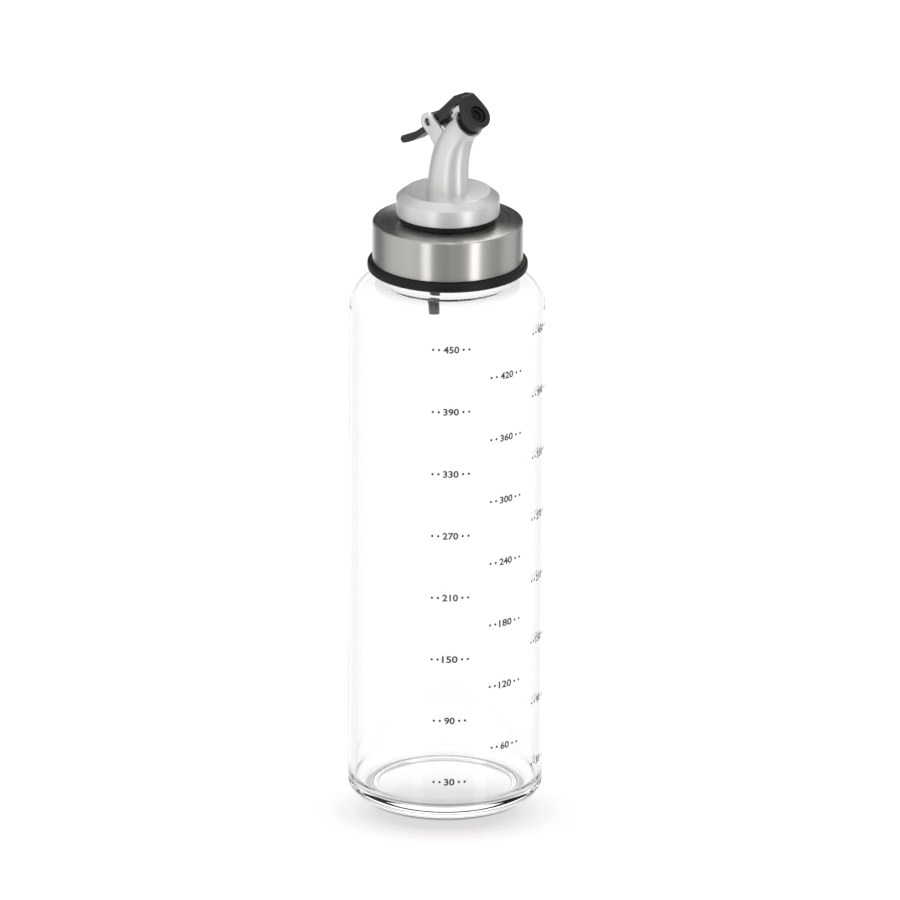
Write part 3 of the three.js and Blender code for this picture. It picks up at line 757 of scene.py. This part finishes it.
def pourer_materials():
    look = bpy.context.scene.pourer_settings
    return {
        "steel": material_named("steel_finish", brushed_steel, look.steel_colour[:]),
        "silver": material_named("silver_finish", satin_silver, look.silver_colour[:]),
        "black": material_named("black_finish", black_plastic, look.black_colour[:]),
        "rubber": material_named("rubber_finish", black_rubber, look.black_colour[:]),
        "lip": material_named(
            "lip_finish", black_plastic, scaled(look.black_colour, 0.7), "lip_finish",
            (0.34, 0.46), 0.15, 0.25,
        ),
        "grey": material_named("grey_finish", grey_plastic),
        "silicone": material_named("silicone_finish", clear_silicone),
        "bare": material_named("bare_finish", bare_steel),
    }


def dress_node(node, material):
    """Gives a CAD node its finish."""
    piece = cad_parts[node]
    piece.data.materials.clear()
    piece.data.materials.append(material)


# ---------------------------------------------------------------- the bottle
class OILBOTTLE_OT_glass(bpy.types.Operator):
    """Blows the glass bottle with its hollow base, round shoulder and threaded neck"""

    bl_idname = "oilbottle.glass"
    bl_label = "Glass Bottle"

    def execute(self, context):
        inside = BODY_R - WALL
        neck_in = NECK_R - WALL
        top_r = NECK_R + NECK_FILLET
        fillet_in = NECK_FILLET + WALL
        outline = [(0, 1.2), (10, 1.2), *arc((21.5, -0.8), (2, 2), 90, 30, 4)]
        outline += [*arc((25.2, 1.0), (1.6, 1.0), 200, 270, 5)]
        base = (BASE_ROUND, BASE_ROUND)
        outline += arc((BODY_R - BASE_ROUND, BASE_ROUND), base, -90, 0)
        outline += [(BODY_R, 60), (BODY_R, 115)]
        outline += arc((top_r, SHOULDER_Z), (BODY_R - top_r, SHOULDER_H), 0, 90, 26)
        outline += arc((top_r, NECK_Z), (NECK_FILLET, NECK_FILLET), -90, -180, 8)[1:]
        outline += smooth_thread(NECK_Z + 0.5, NECK_Z + 11.4, NECK_R, 60)
        rim_middle = ((NECK_R + neck_in) / 2, RIM_Z - WALL / 2)
        outline += arc(rim_middle, (WALL / 2, WALL / 2), 0, 180)
        outline += arc((top_r, NECK_Z), (fillet_in, fillet_in), 180, 270, 8)
        outline += arc((top_r, SHOULDER_Z), (inside - top_r, SHOULDER_H - WALL), 90, 0, 26)[1:]
        outline += [(inside, 115), (inside, 60)]
        outline += arc((inside - BASE_ROUND, FLOOR_Z + BASE_ROUND), base, 0, -90)
        outline += [(15, FLOOR_Z + 0.35), (0, FLOOR_Z + 0.6)]
        bm = turned(outline, 192)
        ridge(bm, NECK_R, THREAD_H, THREAD_Z)
        look = context.scene.bottle_settings
        material = material_named("glass_finish", clear_glass, look.glass_tint[:])
        piece = finish_piece(
            "glass_body", bm, material, "bottle", ["glass_bottle"],
            math.radians(60),
        )
        piece.visible_shadow = False
        piece.visible_diffuse = False
        return {"FINISHED"}


def mark_shape(text, dot):
    """One mark of the scale, flat and centred: two dots, its number and two dots."""
    curve = bpy.data.curves.new("mark", "FONT")
    curve.body = text
    curve.resolution_u = 3
    curve.offset = 0.028
    holder = bpy.data.objects.new("mark", curve)
    bpy.context.scene.collection.objects.link(holder)
    depsgraph = bpy.context.evaluated_depsgraph_get()
    flat = bpy.data.meshes.new_from_object(holder.evaluated_get(depsgraph))
    bm = bmesh.new()
    bm.from_mesh(flat)
    bpy.data.meshes.remove(flat)
    bpy.data.objects.remove(holder)
    bpy.data.curves.remove(curve)
    xs = [v.co.x for v in bm.verts]
    ys = [v.co.y for v in bm.verts]
    width = 0.16 + 1.67 * len(text)
    centre = Vector(((min(xs) + max(xs)) / 2, (min(ys) + max(ys)) / 2, 0))
    bmesh.ops.translate(bm, vec=-centre, verts=bm.verts)
    size = (width / (max(xs) - min(xs)), PRINT_H / (max(ys) - min(ys)), 1)
    bmesh.ops.scale(bm, vec=size, verts=bm.verts)
    for away in DOT_PLACES:
        for side in (-1, 1):
            place = Matrix.Translation((side * (width / 2 + away), 0, 0))
            bmesh.ops.create_circle(
                bm, cap_ends=True, segments=16, radius=dot / 2, matrix=place,
            )
    return bm


class OILBOTTLE_OT_scale(bpy.types.Operator):
    """Prints the millilitre scale in three columns on the glass"""

    bl_idname = "oilbottle.scale"
    bl_label = "Printed Scale"

    def execute(self, context):
        look = context.scene.bottle_settings
        marks = []
        radius = BODY_R + PRINT_LIFT
        for angle, lowest in COLUMNS:
            column = math.radians(angle)
            outwards = Vector((math.cos(column), math.sin(column), 0))
            for amount in range(lowest, look.full_scale + 1, MARK_STEP):
                mark = mark_shape(str(amount), look.print_width / MM)
                height = SCALE_30 + (amount - 30) * SCALE_ML
                for vert in mark.verts:
                    turn = column + vert.co.x / BODY_R
                    place = (radius * math.cos(turn), radius * math.sin(turn))
                    vert.co = (*place, height + vert.co.y)
                for face in mark.faces:
                    face.normal_update()
                    if face.normal.dot(outwards) < 0:
                        face.normal_flip()
                marks.append(mark)
        ink = material_named("ink_finish", scale_ink, look.ink_colour[:])
        finish_piece("scale_print", joined(*marks), ink, "bottle")
        return {"FINISHED"}


# ---------------------------------------------------------------- the cap
class OILBOTTLE_OT_cap(bpy.types.Operator):
    """Makes the steel cover, the threaded black insert, its seal and the ring under the disc"""

    bl_idname = "oilbottle.cap"
    bl_label = "Cap"

    def execute(self, context):
        finish = pourer_materials()
        under = SHELL_TOP - COVER_T
        cover = rounded([
            (SHELL_R - COVER_T, SHELL_LOW),
            (SHELL_R - 0.12, SHELL_LOW, 0.1),
            (SHELL_R, SHELL_LOW + 0.25, 0.1),
            (SHELL_R, SHELL_TOP, 0.9),
            (PLUG_BORE_R + COVER_T, SHELL_TOP, 0.2),
            (PLUG_BORE_R + COVER_T, under),
            (SHELL_R - COVER_T, under, 0.3),
        ])
        finish_piece(
            "steel_cover", turned(cover, 192), finish["steel"], "cap",
            ["cap_shell"],
        )

        insert_r = SHELL_R - COVER_T - 0.2
        lip_top = LIP_LOW + LIP_H
        collar_low = PLATE_Z - PLUG_COLLAR_H
        insert = rounded([
            (LIP_R - 2, LIP_LOW),
            (LIP_R, LIP_LOW, 1.1),
            (LIP_R, lip_top, 1.0),
            (insert_r, lip_top),
            (insert_r, INSERT_TOP, 0.9),
            (PLUG_BORE_R, INSERT_TOP),
            (PLUG_BORE_R, collar_low, 0.3),
            (PLUG_BORE_R + 1.5, collar_low, 0.3),
            (PLUG_BORE_R + 1.5, PLATE_Z),
            (CAP_BORE_R, PLATE_Z),
        ])
        insert += smooth_thread(PLATE_Z - 0.4, LIP_LOW + 0.6, CAP_BORE_R, 60)
        insert += [(CAP_BORE_R + 0.4, LIP_LOW)]
        bm = turned(insert, 192)
        ridge(bm, CAP_BORE_R, -THREAD_H, THREAD_Z - THREAD_PITCH / 2)
        finish_piece("cap_body", bm, finish["lip"], "cap", ["cap_insert"])

        ring = turned(rounded([
            (RING_BORE_R, RING_LOW),
            (RING_R, RING_LOW, 0.5),
            (RING_R, RING_TOP, 0.5),
            (RING_BORE_R, RING_TOP),
        ]))
        finish_piece(
            "black_ring", ring, finish["rubber"], "pourer", ["base_gasket"],
        )
        seal_low, seal_top = (edge("neck_gasket", high, "z") for high in (False, True))
        seal_r = edge("neck_gasket", True, "x")
        seal = turned(rounded([
            (seal_r - SEAL_WIDTH, seal_low, 0.3),
            (seal_r, seal_low, 0.3),
            (seal_r, seal_top, 0.3),
            (seal_r - SEAL_WIDTH, seal_top, 0.3),
        ]))
        finish_piece("neck_seal", seal, finish["silicone"], "seal", ["neck_gasket"])
        return {"FINISHED"}


# ---------------------------------------------------------------- the stopper
class OILBOTTLE_OT_stopper(bpy.types.Operator):
    """Moulds the finned silicone plug and the vent tube, and gives the black stem with its duct
    its finish
    """

    bl_idname = "oilbottle.stopper"
    bl_label = "Stopper"

    def execute(self, context):
        finish = pourer_materials()
        sleeve_r = PLUG_R - FIN_DEPTH
        inner_r = sleeve_r - PLUG_WALL
        spacing = (13 - 2.4) / FINS
        outline = [(inner_r, PLUG_LOW), (sleeve_r - 0.2, PLUG_LOW), (sleeve_r, PLUG_LOW + 0.2)]
        for i in range(FINS):
            z = PLUG_LOW + FIN_T + i * spacing
            outline += [
                (sleeve_r, z),
                (PLUG_R - 0.1, z + 0.44),
                (PLUG_R, z + 0.6),
                (PLUG_R, z + FIN_T - 0.15),
                (PLUG_R - 0.12, z + FIN_T),
                (sleeve_r, z + FIN_T),
            ]
        outline += [(sleeve_r, PLUG_TOP), (inner_r, PLUG_TOP)]
        plug = turned(outline)
        finish_piece("plug", plug, finish["silicone"], "pourer", ["stopper_plug"])

        tube = rounded([
            (VENT_BORE_R, VENT_LOW, 0.12),
            (VENT_R, VENT_LOW, 0.15),
            (VENT_R, VENT_TOP, 0.1),
            (VENT_BORE_R, VENT_TOP, 0.1),
        ])
        straw = shift(turned(tube, 48), VENT_X)
        finish_piece("vent_straw", straw, finish["grey"], "pourer", ["vent_tube"])
        dress_node("spout_core", finish["black"])
        return {"FINISHED"}


# ---------------------------------------------------------------- the spout
def spout_point(t):
    """A point on the spout's centre line and the direction there."""
    p0 = Vector((0, 0, DISC_TOP))
    p1 = Vector((0.2, 0, DISC_TOP + 0.47 * SPOUT_H))
    p2 = MOUTH - 9.1 * AHEAD
    u = 1 - t
    point = u ** 3 * p0 + 3 * u * u * t * p1 + 3 * u * t * t * p2 + t ** 3 * MOUTH
    along = u * u * (p1 - p0) + 2 * u * t * (p2 - p1) + t * t * (MOUTH - p2)
    return point, along.normalized()


def spout_ring(t, inset=0.0, run_on=0.0):
    """One section of the spout: round, with a flat back higher up."""
    length = SPOUT_ROOT_L + (MOUTH_R - SPOUT_ROOT_L) * min(1, 1.2 * t) - inset
    width = SPOUT_ROOT_W + (MOUTH_R - SPOUT_ROOT_W) * min(1, 1.1 * t) - inset
    k = max(0, min(1, (t - 0.45) / 0.27))
    flat = 1 - 0.46 * k * k * (3 - 2 * k)
    height = flat * (length + inset) - inset
    start = math.acos(min(height / length, math.cos(math.radians(7))))
    centre, along = spout_point(t)
    centre = centre + along * run_on
    back = Vector((-along.z, 0, along.x))
    points = []
    sides = 72
    for i in range(sides + 1):
        a = start + (2 * math.pi - 2 * start) * i / sides
        place = centre + back * length * math.cos(a)
        points.append(place + Vector((0, width * math.sin(a), 0)))
    flat_steps = 8
    for i in range(1, flat_steps):
        points.append(points[sides].lerp(points[0], i / flat_steps))
    return points


def ear_outlines():
    """The two halves of an ear round its pin hole."""
    hole = (EAR_HOLE_R, EAR_HOLE_R)
    upper = [(5.08, 0), *arc((0, 0), (EAR_R, EAR_R), 45, 180, 16), (-EAR_HOLE_R, 0)]
    upper += arc((0, 0), hole, 180, 0, 12)[1:]
    lower = [*arc((0, 0), (EAR_R, EAR_R), 180, 216, 6), (0.94, -4.5), (3.14, -7.3)]
    lower += [(7.34, -7.3), (7.34, -2.5), (6.34, -0.9), (5.08, 0)]
    lower += arc((0, 0), hole, 0, -180, 12)
    return [[(x + PIVOT.x, z + PIVOT.z) for x, z in half] for half in (upper, lower)]


class OILBOTTLE_OT_spout(bpy.types.Operator):
    """Moulds the silver disc and the bent spout with its mouth, its ears and the arm's rest"""

    bl_idname = "oilbottle.spout"
    bl_label = "Spout"

    def execute(self, context):
        finish = pourer_materials()
        round_off = context.scene.pourer_settings.edge_rounding / MM
        under_r = DISC_R - DISC_WALL
        top_r = DISC_R - DISC_SLOPE
        disc = turned(rounded([
            (under_r, DISC_LOW),
            (DISC_R, DISC_LOW, 0.35),
            (DISC_R, DISC_LOW + DISC_SIDE_H, 0.5),
            (top_r, DISC_TOP, 0.45),
            (0, DISC_TOP),
            (0, DISC_TOP - DISC_WALL),
            (top_r - 0.65, DISC_TOP - DISC_WALL),
            (under_r, DISC_TOP - 3.6),
        ]), 192)
        outer = [spout_ring(i / 44, run_on=-0.6 if i == 0 else 0) for i in range(45)]
        inner = [
            spout_ring(i / 30, SPOUT_WALL, run_on=-2.4 if i == 0 else 0)
            for i in range(30, -1, -1)
        ]
        tube = skin(outer + inner, closed_ends=False)
        rim = at_mouth(turned(rounded([
            (MOUTH_R - SPOUT_WALL, -1.8),
            (MOUTH_R, -1.8, 0.12),
            (MOUTH_R, 0, 0.3),
            (MOUTH_R - SPOUT_WALL, 0, 0.15),
        ]), 72))
        web_low, web_r = 2.1, MOUTH_R - 0.3
        web_angle = math.degrees(math.asin(web_low / web_r))
        web = arc((0, 0), (web_r, web_r), web_angle, 180 - web_angle, 24)
        half_moon = facing_mouth(plate([web], -1.78, -1.0))
        block = rounded([(-2.3, 4.3), (2.3, 4.3), (2.3, 6.3, 0.35), (-2.3, 6.3, 0.35)])
        rest = facing_mouth(plate([block], -2.62, 1.4, 0.3))
        ears = [
            plate(ear_outlines(), -EAR_OUT, -EAR_IN, round_off),
            plate(ear_outlines(), EAR_IN, EAR_OUT, round_off),
        ]
        finish_piece(
            "silver_spout", joined(disc, tube, rim, half_moon, rest, *ears),
            finish["silver"], "pourer", ["spout_shell"],
        )

        socket, rib_r, bore, face = 3.4, NOZZLE_R + 0.22, 2.6, 1.55
        nozzle = [(socket, -0.9), (NOZZLE_R, -0.9)]
        for rib in (0.45, 1.2):
            nozzle += [(NOZZLE_R, rib - 0.24), (rib_r, rib - 0.08)]
            nozzle += [(rib_r, rib + 0.08), (NOZZLE_R, rib + 0.24)]
        nozzle += [(NOZZLE_R, face), (NOZZLE_R - 0.15, NOZZLE_OUT), (bore + 0.15, NOZZLE_OUT)]
        nozzle += [(bore, face), (bore, 0.1), (socket, 0.1)]
        bm = at_mouth(turned(nozzle, 72))
        finish_piece("nozzle", bm, finish["rubber"], "pourer", ["nozzle_tip"])
        return {"FINISHED"}


# ---------------------------------------------------------------- the lever
def arm_outline():
    """The lever's arm and press tab from the side, round the pin."""
    rise = (ARM_END[0] - ARM_START[0], ARM_END[1] - ARM_START[1])
    angle = math.atan2(rise[1], rise[0])
    inwards, down = ARM_T * math.sin(angle), ARM_T * math.cos(angle)
    tab = [(-3.2, -2.3), (-13.3, -8.1), (-12.7, -10.5), (-5.36, -6.6)]
    points = [ARM_START, tab[0]]
    points += quadratic(tab[0], (-8.1, -6.5), tab[1])
    points += quadratic(tab[1], (-14.9, -9.8), tab[2])
    points += quadratic(tab[2], (-8.6, -9.4), tab[3])
    points += [(0.94, -2.1), (ARM_START[0] + inwards, ARM_START[1] - down)]
    points += [(ARM_END[0] + inwards, ARM_END[1] - down), ARM_END]
    return [(x + PIVOT.x, z + PIVOT.z) for x, z in points]


def quadratic(a, b, c, steps=10):
    """Points on a quadratic curve after its first."""
    points = []
    for i in range(1, steps + 1):
        t = i / steps
        u = 1 - t
        points.append(tuple(u * u * p + 2 * u * t * q + t * t * r for p, q, r in zip(a, b, c)))
    return points


def head_solid():
    """The lever's head: a round plate that narrows upwards and bends back to meet the arm."""
    half = ARM_HALF
    waist = (0.85 * HEAD_R, 0.75 * HEAD_R)
    shoulder = (half, 1.35 * HEAD_R)
    start = (HEAD_R * math.cos(math.radians(20)), HEAD_R * math.sin(math.radians(20)))
    front = arc((0, 0), (HEAD_R, HEAD_R), 160, 380, 44)
    front += quadratic(start, waist, shoulder, 8)
    front += [(half, 12), (-half, 12), (-half, shoulder[1])]
    mirror = quadratic((-half, shoulder[1]), (-waist[0], waist[1]), (-start[0], start[1]), 8)
    front += mirror[:-1]
    wide = facing_mouth(plate([front], HEAD_BACK - 1.6, HEAD_BACK + 2 * HEAD_T), HEAD_RISE)
    top = HEAD_BACK + HEAD_T
    side = [(HEAD_BACK, -10), (top, -10), (top, 6.4)]
    side += quadratic((top, 6.4), (top, 7.7), (4.4, 8.1), 6)
    side += [(1.83, 9.49), (1.2, 7.2), (HEAD_BACK, 6.2)]
    world = [MOUTH + AHEAD * s + ABOVE * q for s, q in side]
    slab = plate([[(p.x, p.z) for p in world]], -10, 10)
    return combined(wide, slab, "INTERSECT")


def spring_route():
    """The torsion spring round the pin: its tab leg, and its coil with the leg on the spout."""
    tab_leg = [(-4.0, -6.4), (-3.26, -5.8), (-1.06, -3.5)]
    steps = 120
    coil = []
    for i in range(steps + 1):
        a = COIL_START + i / steps * COIL_TURNS * 2 * math.pi
        across = -COIL_HALF + 2 * COIL_HALF * i / steps
        coil.append(PIVOT + Vector((COIL_R * math.cos(a), across, COIL_R * math.sin(a))))
    a = COIL_START + COIL_TURNS * 2 * math.pi
    leaving = Vector((-math.sin(a), 0, math.cos(a)))
    leg = [coil[-1] + leaving * s for s in (0.5, 1.5, 3.3, 5)]
    tab = [PIVOT + Vector((x, -COIL_HALF, z)) for x, z in tab_leg]
    return tab + coil[:2], coil + leg


class OILBOTTLE_OT_lever(bpy.types.Operator):
    """Moulds the black lever with its seal, and makes its pin and torsion spring"""

    bl_idname = "oilbottle.lever"
    bl_label = "Lever"

    def execute(self, context):
        finish = pourer_materials()
        arm = plate([arm_outline()], -ARM_HALF, ARM_HALF)
        hub = at_pin(turned([(0, -2.8), (HUB_R, -2.8), (HUB_R, 2.8), (0, 2.8)], 40))
        solid = combined(combined(arm, hub, "UNION"), head_solid(), "UNION")
        hole = at_mouth(turned([(0, 4), (2.9, 4), (2.9, 8), (0, 8)], 48), HEAD_RISE)
        seat = at_mouth(turned([
            (0, -0.5), (3.6, -0.5), (3.6, 3.65), (2.9, 3.65), (2.9, 4.1), (0, 4.1),
        ], 48), HEAD_RISE)
        solid = combined(combined(solid, hole, "DIFFERENCE"), seat, "DIFFERENCE")
        bmesh.ops.remove_doubles(solid, verts=solid.verts, dist=1e-4)
        solid = in_order(solid)
        bmesh.ops.dissolve_limit(
            solid, angle_limit=math.radians(0.5), verts=solid.verts, edges=solid.edges,
        )
        piece = finish_piece(
            "thumb_lever", solid, finish["black"], "lever", ["lever"],
        )
        soften = piece.modifiers.new("soften", "BEVEL")
        soften.width = 0.45 * MM
        soften.segments = 3
        soften.limit_method = "ANGLE"
        soften.angle_limit = math.radians(34)
        soften.use_clamp_overlap = True

        seal = at_mouth(turned([
            (0, 1.95), (3.3, 1.95), (3.4, 2.05), (3.4, 3.5), (2.7, 3.55), (2.7, 4.6),
            (2.62, 4.8), (2.4, 4.93), (2.1, 4.9), (1.86, 4.74), (1.7, 4.4), (1.6, 3.7),
            (0.6, 3.55), (0.4, 3.85), (0, 3.95),
        ], 64), HEAD_RISE)
        finish_piece(
            "lever_button", seal, finish["rubber"], "lever", ["lever_seal"],
        )

        pin_end = PIN_HALF - PIN_RECESS
        pin = at_pin(turned(rounded([
            (0, -pin_end), (PIN_R, -pin_end, 0.2), (PIN_R, pin_end, 0.2), (0, pin_end),
        ]), 40))
        finish_piece(
            "hinge_pin", pin, finish["bare"], "pourer", ["pivot_pin"],
        )
        tab_leg, coil = spring_route()
        for name, route, body in (
            ("spring_coil", coil, "pourer"), ("spring_leg", tab_leg, "lever"),
        ):
            finish_piece(
                name, wire(route, SPRING_WIRE_R), finish["bare"], body,
                ["lever_spring"],
            )
        return {"FINISHED"}


# ---------------------------------------------------------------- the studio
def studio_sky(brightness, azimuth):
    """White surroundings, with soft boxes and grey walls in what the gloss reflects."""
    world = bpy.data.worlds.new("studio")
    world.use_nodes = True
    tree = world.node_tree
    tree.nodes.clear()
    way = add_node(tree, "ShaderNodeTexCoord").outputs["Generated"]
    # after the turn the studio's front is along -Y and its right hand along +X
    turned_way = spun(tree, way, -azimuth)
    axes = add_node(tree, "ShaderNodeSeparateXYZ", links={"Vector": turned_way})
    height = axes.outputs["Z"]
    to_front = reckon(tree, "MULTIPLY", axes.outputs["Y"], -1.0)
    angle = reckon(tree, "ARCTAN2", axes.outputs["X"], to_front)
    share = ranged(tree, angle, -math.pi, math.pi)

    sides = ramp_of(tree, share, [((a + 180) / 360, v) for a, v in WALLS])
    below = ranged(tree, height, *FLOOR_HEIGHT)
    floor_seen = reckon(tree, "MULTIPLY", ramp_of(tree, share, BACK), below)
    low = mixed_colour(tree, floor_seen, sides, (FLOOR_LIGHT,) * 3 + (1,))
    overhead = ranged(tree, height, *CEILING_HEIGHT)
    room = mixed_colour(tree, overhead, low, (CEILING_LIGHT,) * 3 + (1,))
    window_high = ranged(tree, height, *WINDOW_HEIGHT)
    window_seen = reckon(tree, "MULTIPLY", ramp_of(tree, share, WINDOW), window_high)
    lit = mixed_colour(tree, window_seen, room, (WINDOW_LIGHT,) * 3 + (1,))

    glossy = add_node(tree, "ShaderNodeBackground", links={"Color": lit})
    white = add_node(
        tree, "ShaderNodeBackground",
        values={"Color": (1.0, 0.998, 0.994, 1), "Strength": brightness},
    )
    # light that has crossed glass counts as glossy too, but should see plain white
    rays = add_node(tree, "ShaderNodeLightPath")
    mirrored = reckon(
        tree, "SUBTRACT", rays.outputs["Is Glossy Ray"], rays.outputs["Is Transmission Ray"],
        clamp=True,
    )
    choice = add_node(tree, "ShaderNodeMixShader", links={
        0: mirrored, 1: white.outputs["Background"], 2: glossy.outputs["Background"],
    })
    add_node(tree, "ShaderNodeOutputWorld", links={"Surface": choice.outputs["Shader"]})
    world.cycles.sampling_method = "NONE"
    return world


def floor_material(azimuth):
    """A pale floor with a painted soft shade round the foot of the glass and a painted contact
    shadow under its standing ring.
    """
    material, tree, shader = new_material(
        "pale_floor_painted_shade", (0.88, 0.88, 0.88), Roughness=1.0, Specular_IOR_Level=0.0,
    )
    place = add_node(tree, "ShaderNodeTexCoord").outputs["Object"]
    turned_place = spun(tree, place, -azimuth)
    painted_shade_layers = []
    # two layers of painted shade: the soft shadow in front of the foot, then the dark contact
    # shadow under it, both turned with the azimuth to lie on the camera's side
    for stops, ahead, squeeze, tint in (
        (PAINTED_FLOOR_SHADE, PAINTED_SHADE_AHEAD, PAINTED_SHADE_SQUEEZE, PAINTED_SHADE_TINT), (PAINTED_CONTACT_SHADOW, PAINTED_CONTACT_AHEAD, 1, (1, 1, 1)),
    ):
        moved = add_node(
            tree, "ShaderNodeMapping", links={"Vector": turned_place},
            values={"Location": (0, ahead * MM, 0), "Scale": (squeeze, 1, 1)},
        ).outputs["Vector"]
        share = ranged(tree, length_of(tree, moved), 0.0, PAINTED_SHADE_REACH * MM)
        painted_shade_layers.append(ramp_of(tree, share, [(r / PAINTED_SHADE_REACH, v) for r, v in stops], tint))
    colour = mixed_colour(tree, 1.0, *painted_shade_layers, blend="MULTIPLY")
    tree.links.new(colour, shader.inputs["Base Color"])
    return material


class OILBOTTLE_OT_studio(bpy.types.Operator):
    """Sets the pale floor, the soft light and the camera"""

    bl_idname = "oilbottle.studio"
    bl_label = "Studio"

    def execute(self, context):
        look = context.scene.studio_settings
        bm = bmesh.new()
        bmesh.ops.create_grid(bm, x_segments=8, y_segments=8, size=FLOOR_HALF)
        mesh = bpy.data.meshes.new("floor")
        bm.to_mesh(mesh)
        bm.free()
        mesh.materials.append(floor_material(look.azimuth))
        floor = bpy.data.objects.new("floor", mesh)
        floor.visible_glossy = False
        context.scene.collection.objects.link(floor)
        context.scene.world = studio_sky(look.brightness, look.azimuth)

        lens = bpy.data.cameras.new("camera")
        lens.lens = LENS
        lens.sensor_width = 36
        lens.clip_start = 0.1
        lens.clip_end = 60
        camera = bpy.data.objects.new("camera", lens)
        a, e = look.azimuth, look.elevation
        back = Vector((math.sin(a) * math.cos(e), -math.cos(a) * math.cos(e), math.sin(e)))
        right = Vector((math.cos(a), math.sin(a), 0))
        camera.location = TARGET + right * TARGET_RIGHT + back * look.distance
        aim = (-back).to_track_quat("-Z", "Y").to_matrix()
        camera.rotation_euler = (aim @ Matrix.Rotation(CAMERA_ROLL, 3, "Z")).to_euler()
        context.scene.collection.objects.link(camera)
        context.scene.camera = camera
        context.scene.view_settings.view_transform = "Standard"
        # light turns back many times inside the thick base before it leaves the glass
        context.scene.cycles.glossy_bounces = GLOSSY_BOUNCES
        return {"FINISHED"}


class OILBOTTLE_PT_panel(bpy.types.Panel):
    """The bottle's pieces and settings"""

    bl_idname = "OILBOTTLE_PT_panel"
    bl_label = "Oil Bottle"
    bl_space_type = "VIEW_3D"
    bl_region_type = "UI"
    bl_category = "Oil Bottle"

    def draw(self, context):
        for group in ("bottle_settings", "pourer_settings", "studio_settings"):
            box = self.layout.box()
            settings = getattr(context.scene, group)
            for label in settings.__annotations__:
                box.prop(settings, label)
        for operator in OPERATORS:
            self.layout.operator(operator.bl_idname)


OPERATORS = (
    OILBOTTLE_OT_glass,
    OILBOTTLE_OT_scale,
    OILBOTTLE_OT_cap,
    OILBOTTLE_OT_stopper,
    OILBOTTLE_OT_spout,
    OILBOTTLE_OT_lever,
    OILBOTTLE_OT_studio,
)
SETTINGS = (
    ("bottle_settings", BottleSettings),
    ("pourer_settings", PourerSettings),
    ("studio_settings", StudioSettings),
)


def register():
    for name, group in SETTINGS:
        bpy.utils.register_class(group)
        setattr(bpy.types.Scene, name, PointerProperty(type=group))
    for item in (*OPERATORS, OILBOTTLE_PT_panel):
        bpy.utils.register_class(item)


def unregister():
    for item in (OILBOTTLE_PT_panel, *reversed(OPERATORS)):
        bpy.utils.unregister_class(item)
    for name, group in reversed(SETTINGS):
        delattr(bpy.types.Scene, name)
        bpy.utils.unregister_class(group)


def main():
    register()
    bpy.ops.oilbottle.glass()
    bpy.ops.oilbottle.scale()
    bpy.ops.oilbottle.cap()
    bpy.ops.oilbottle.stopper()
    bpy.ops.oilbottle.spout()
    bpy.ops.oilbottle.lever()
    bpy.ops.oilbottle.studio()


if __name__ == "__main__":
    main()
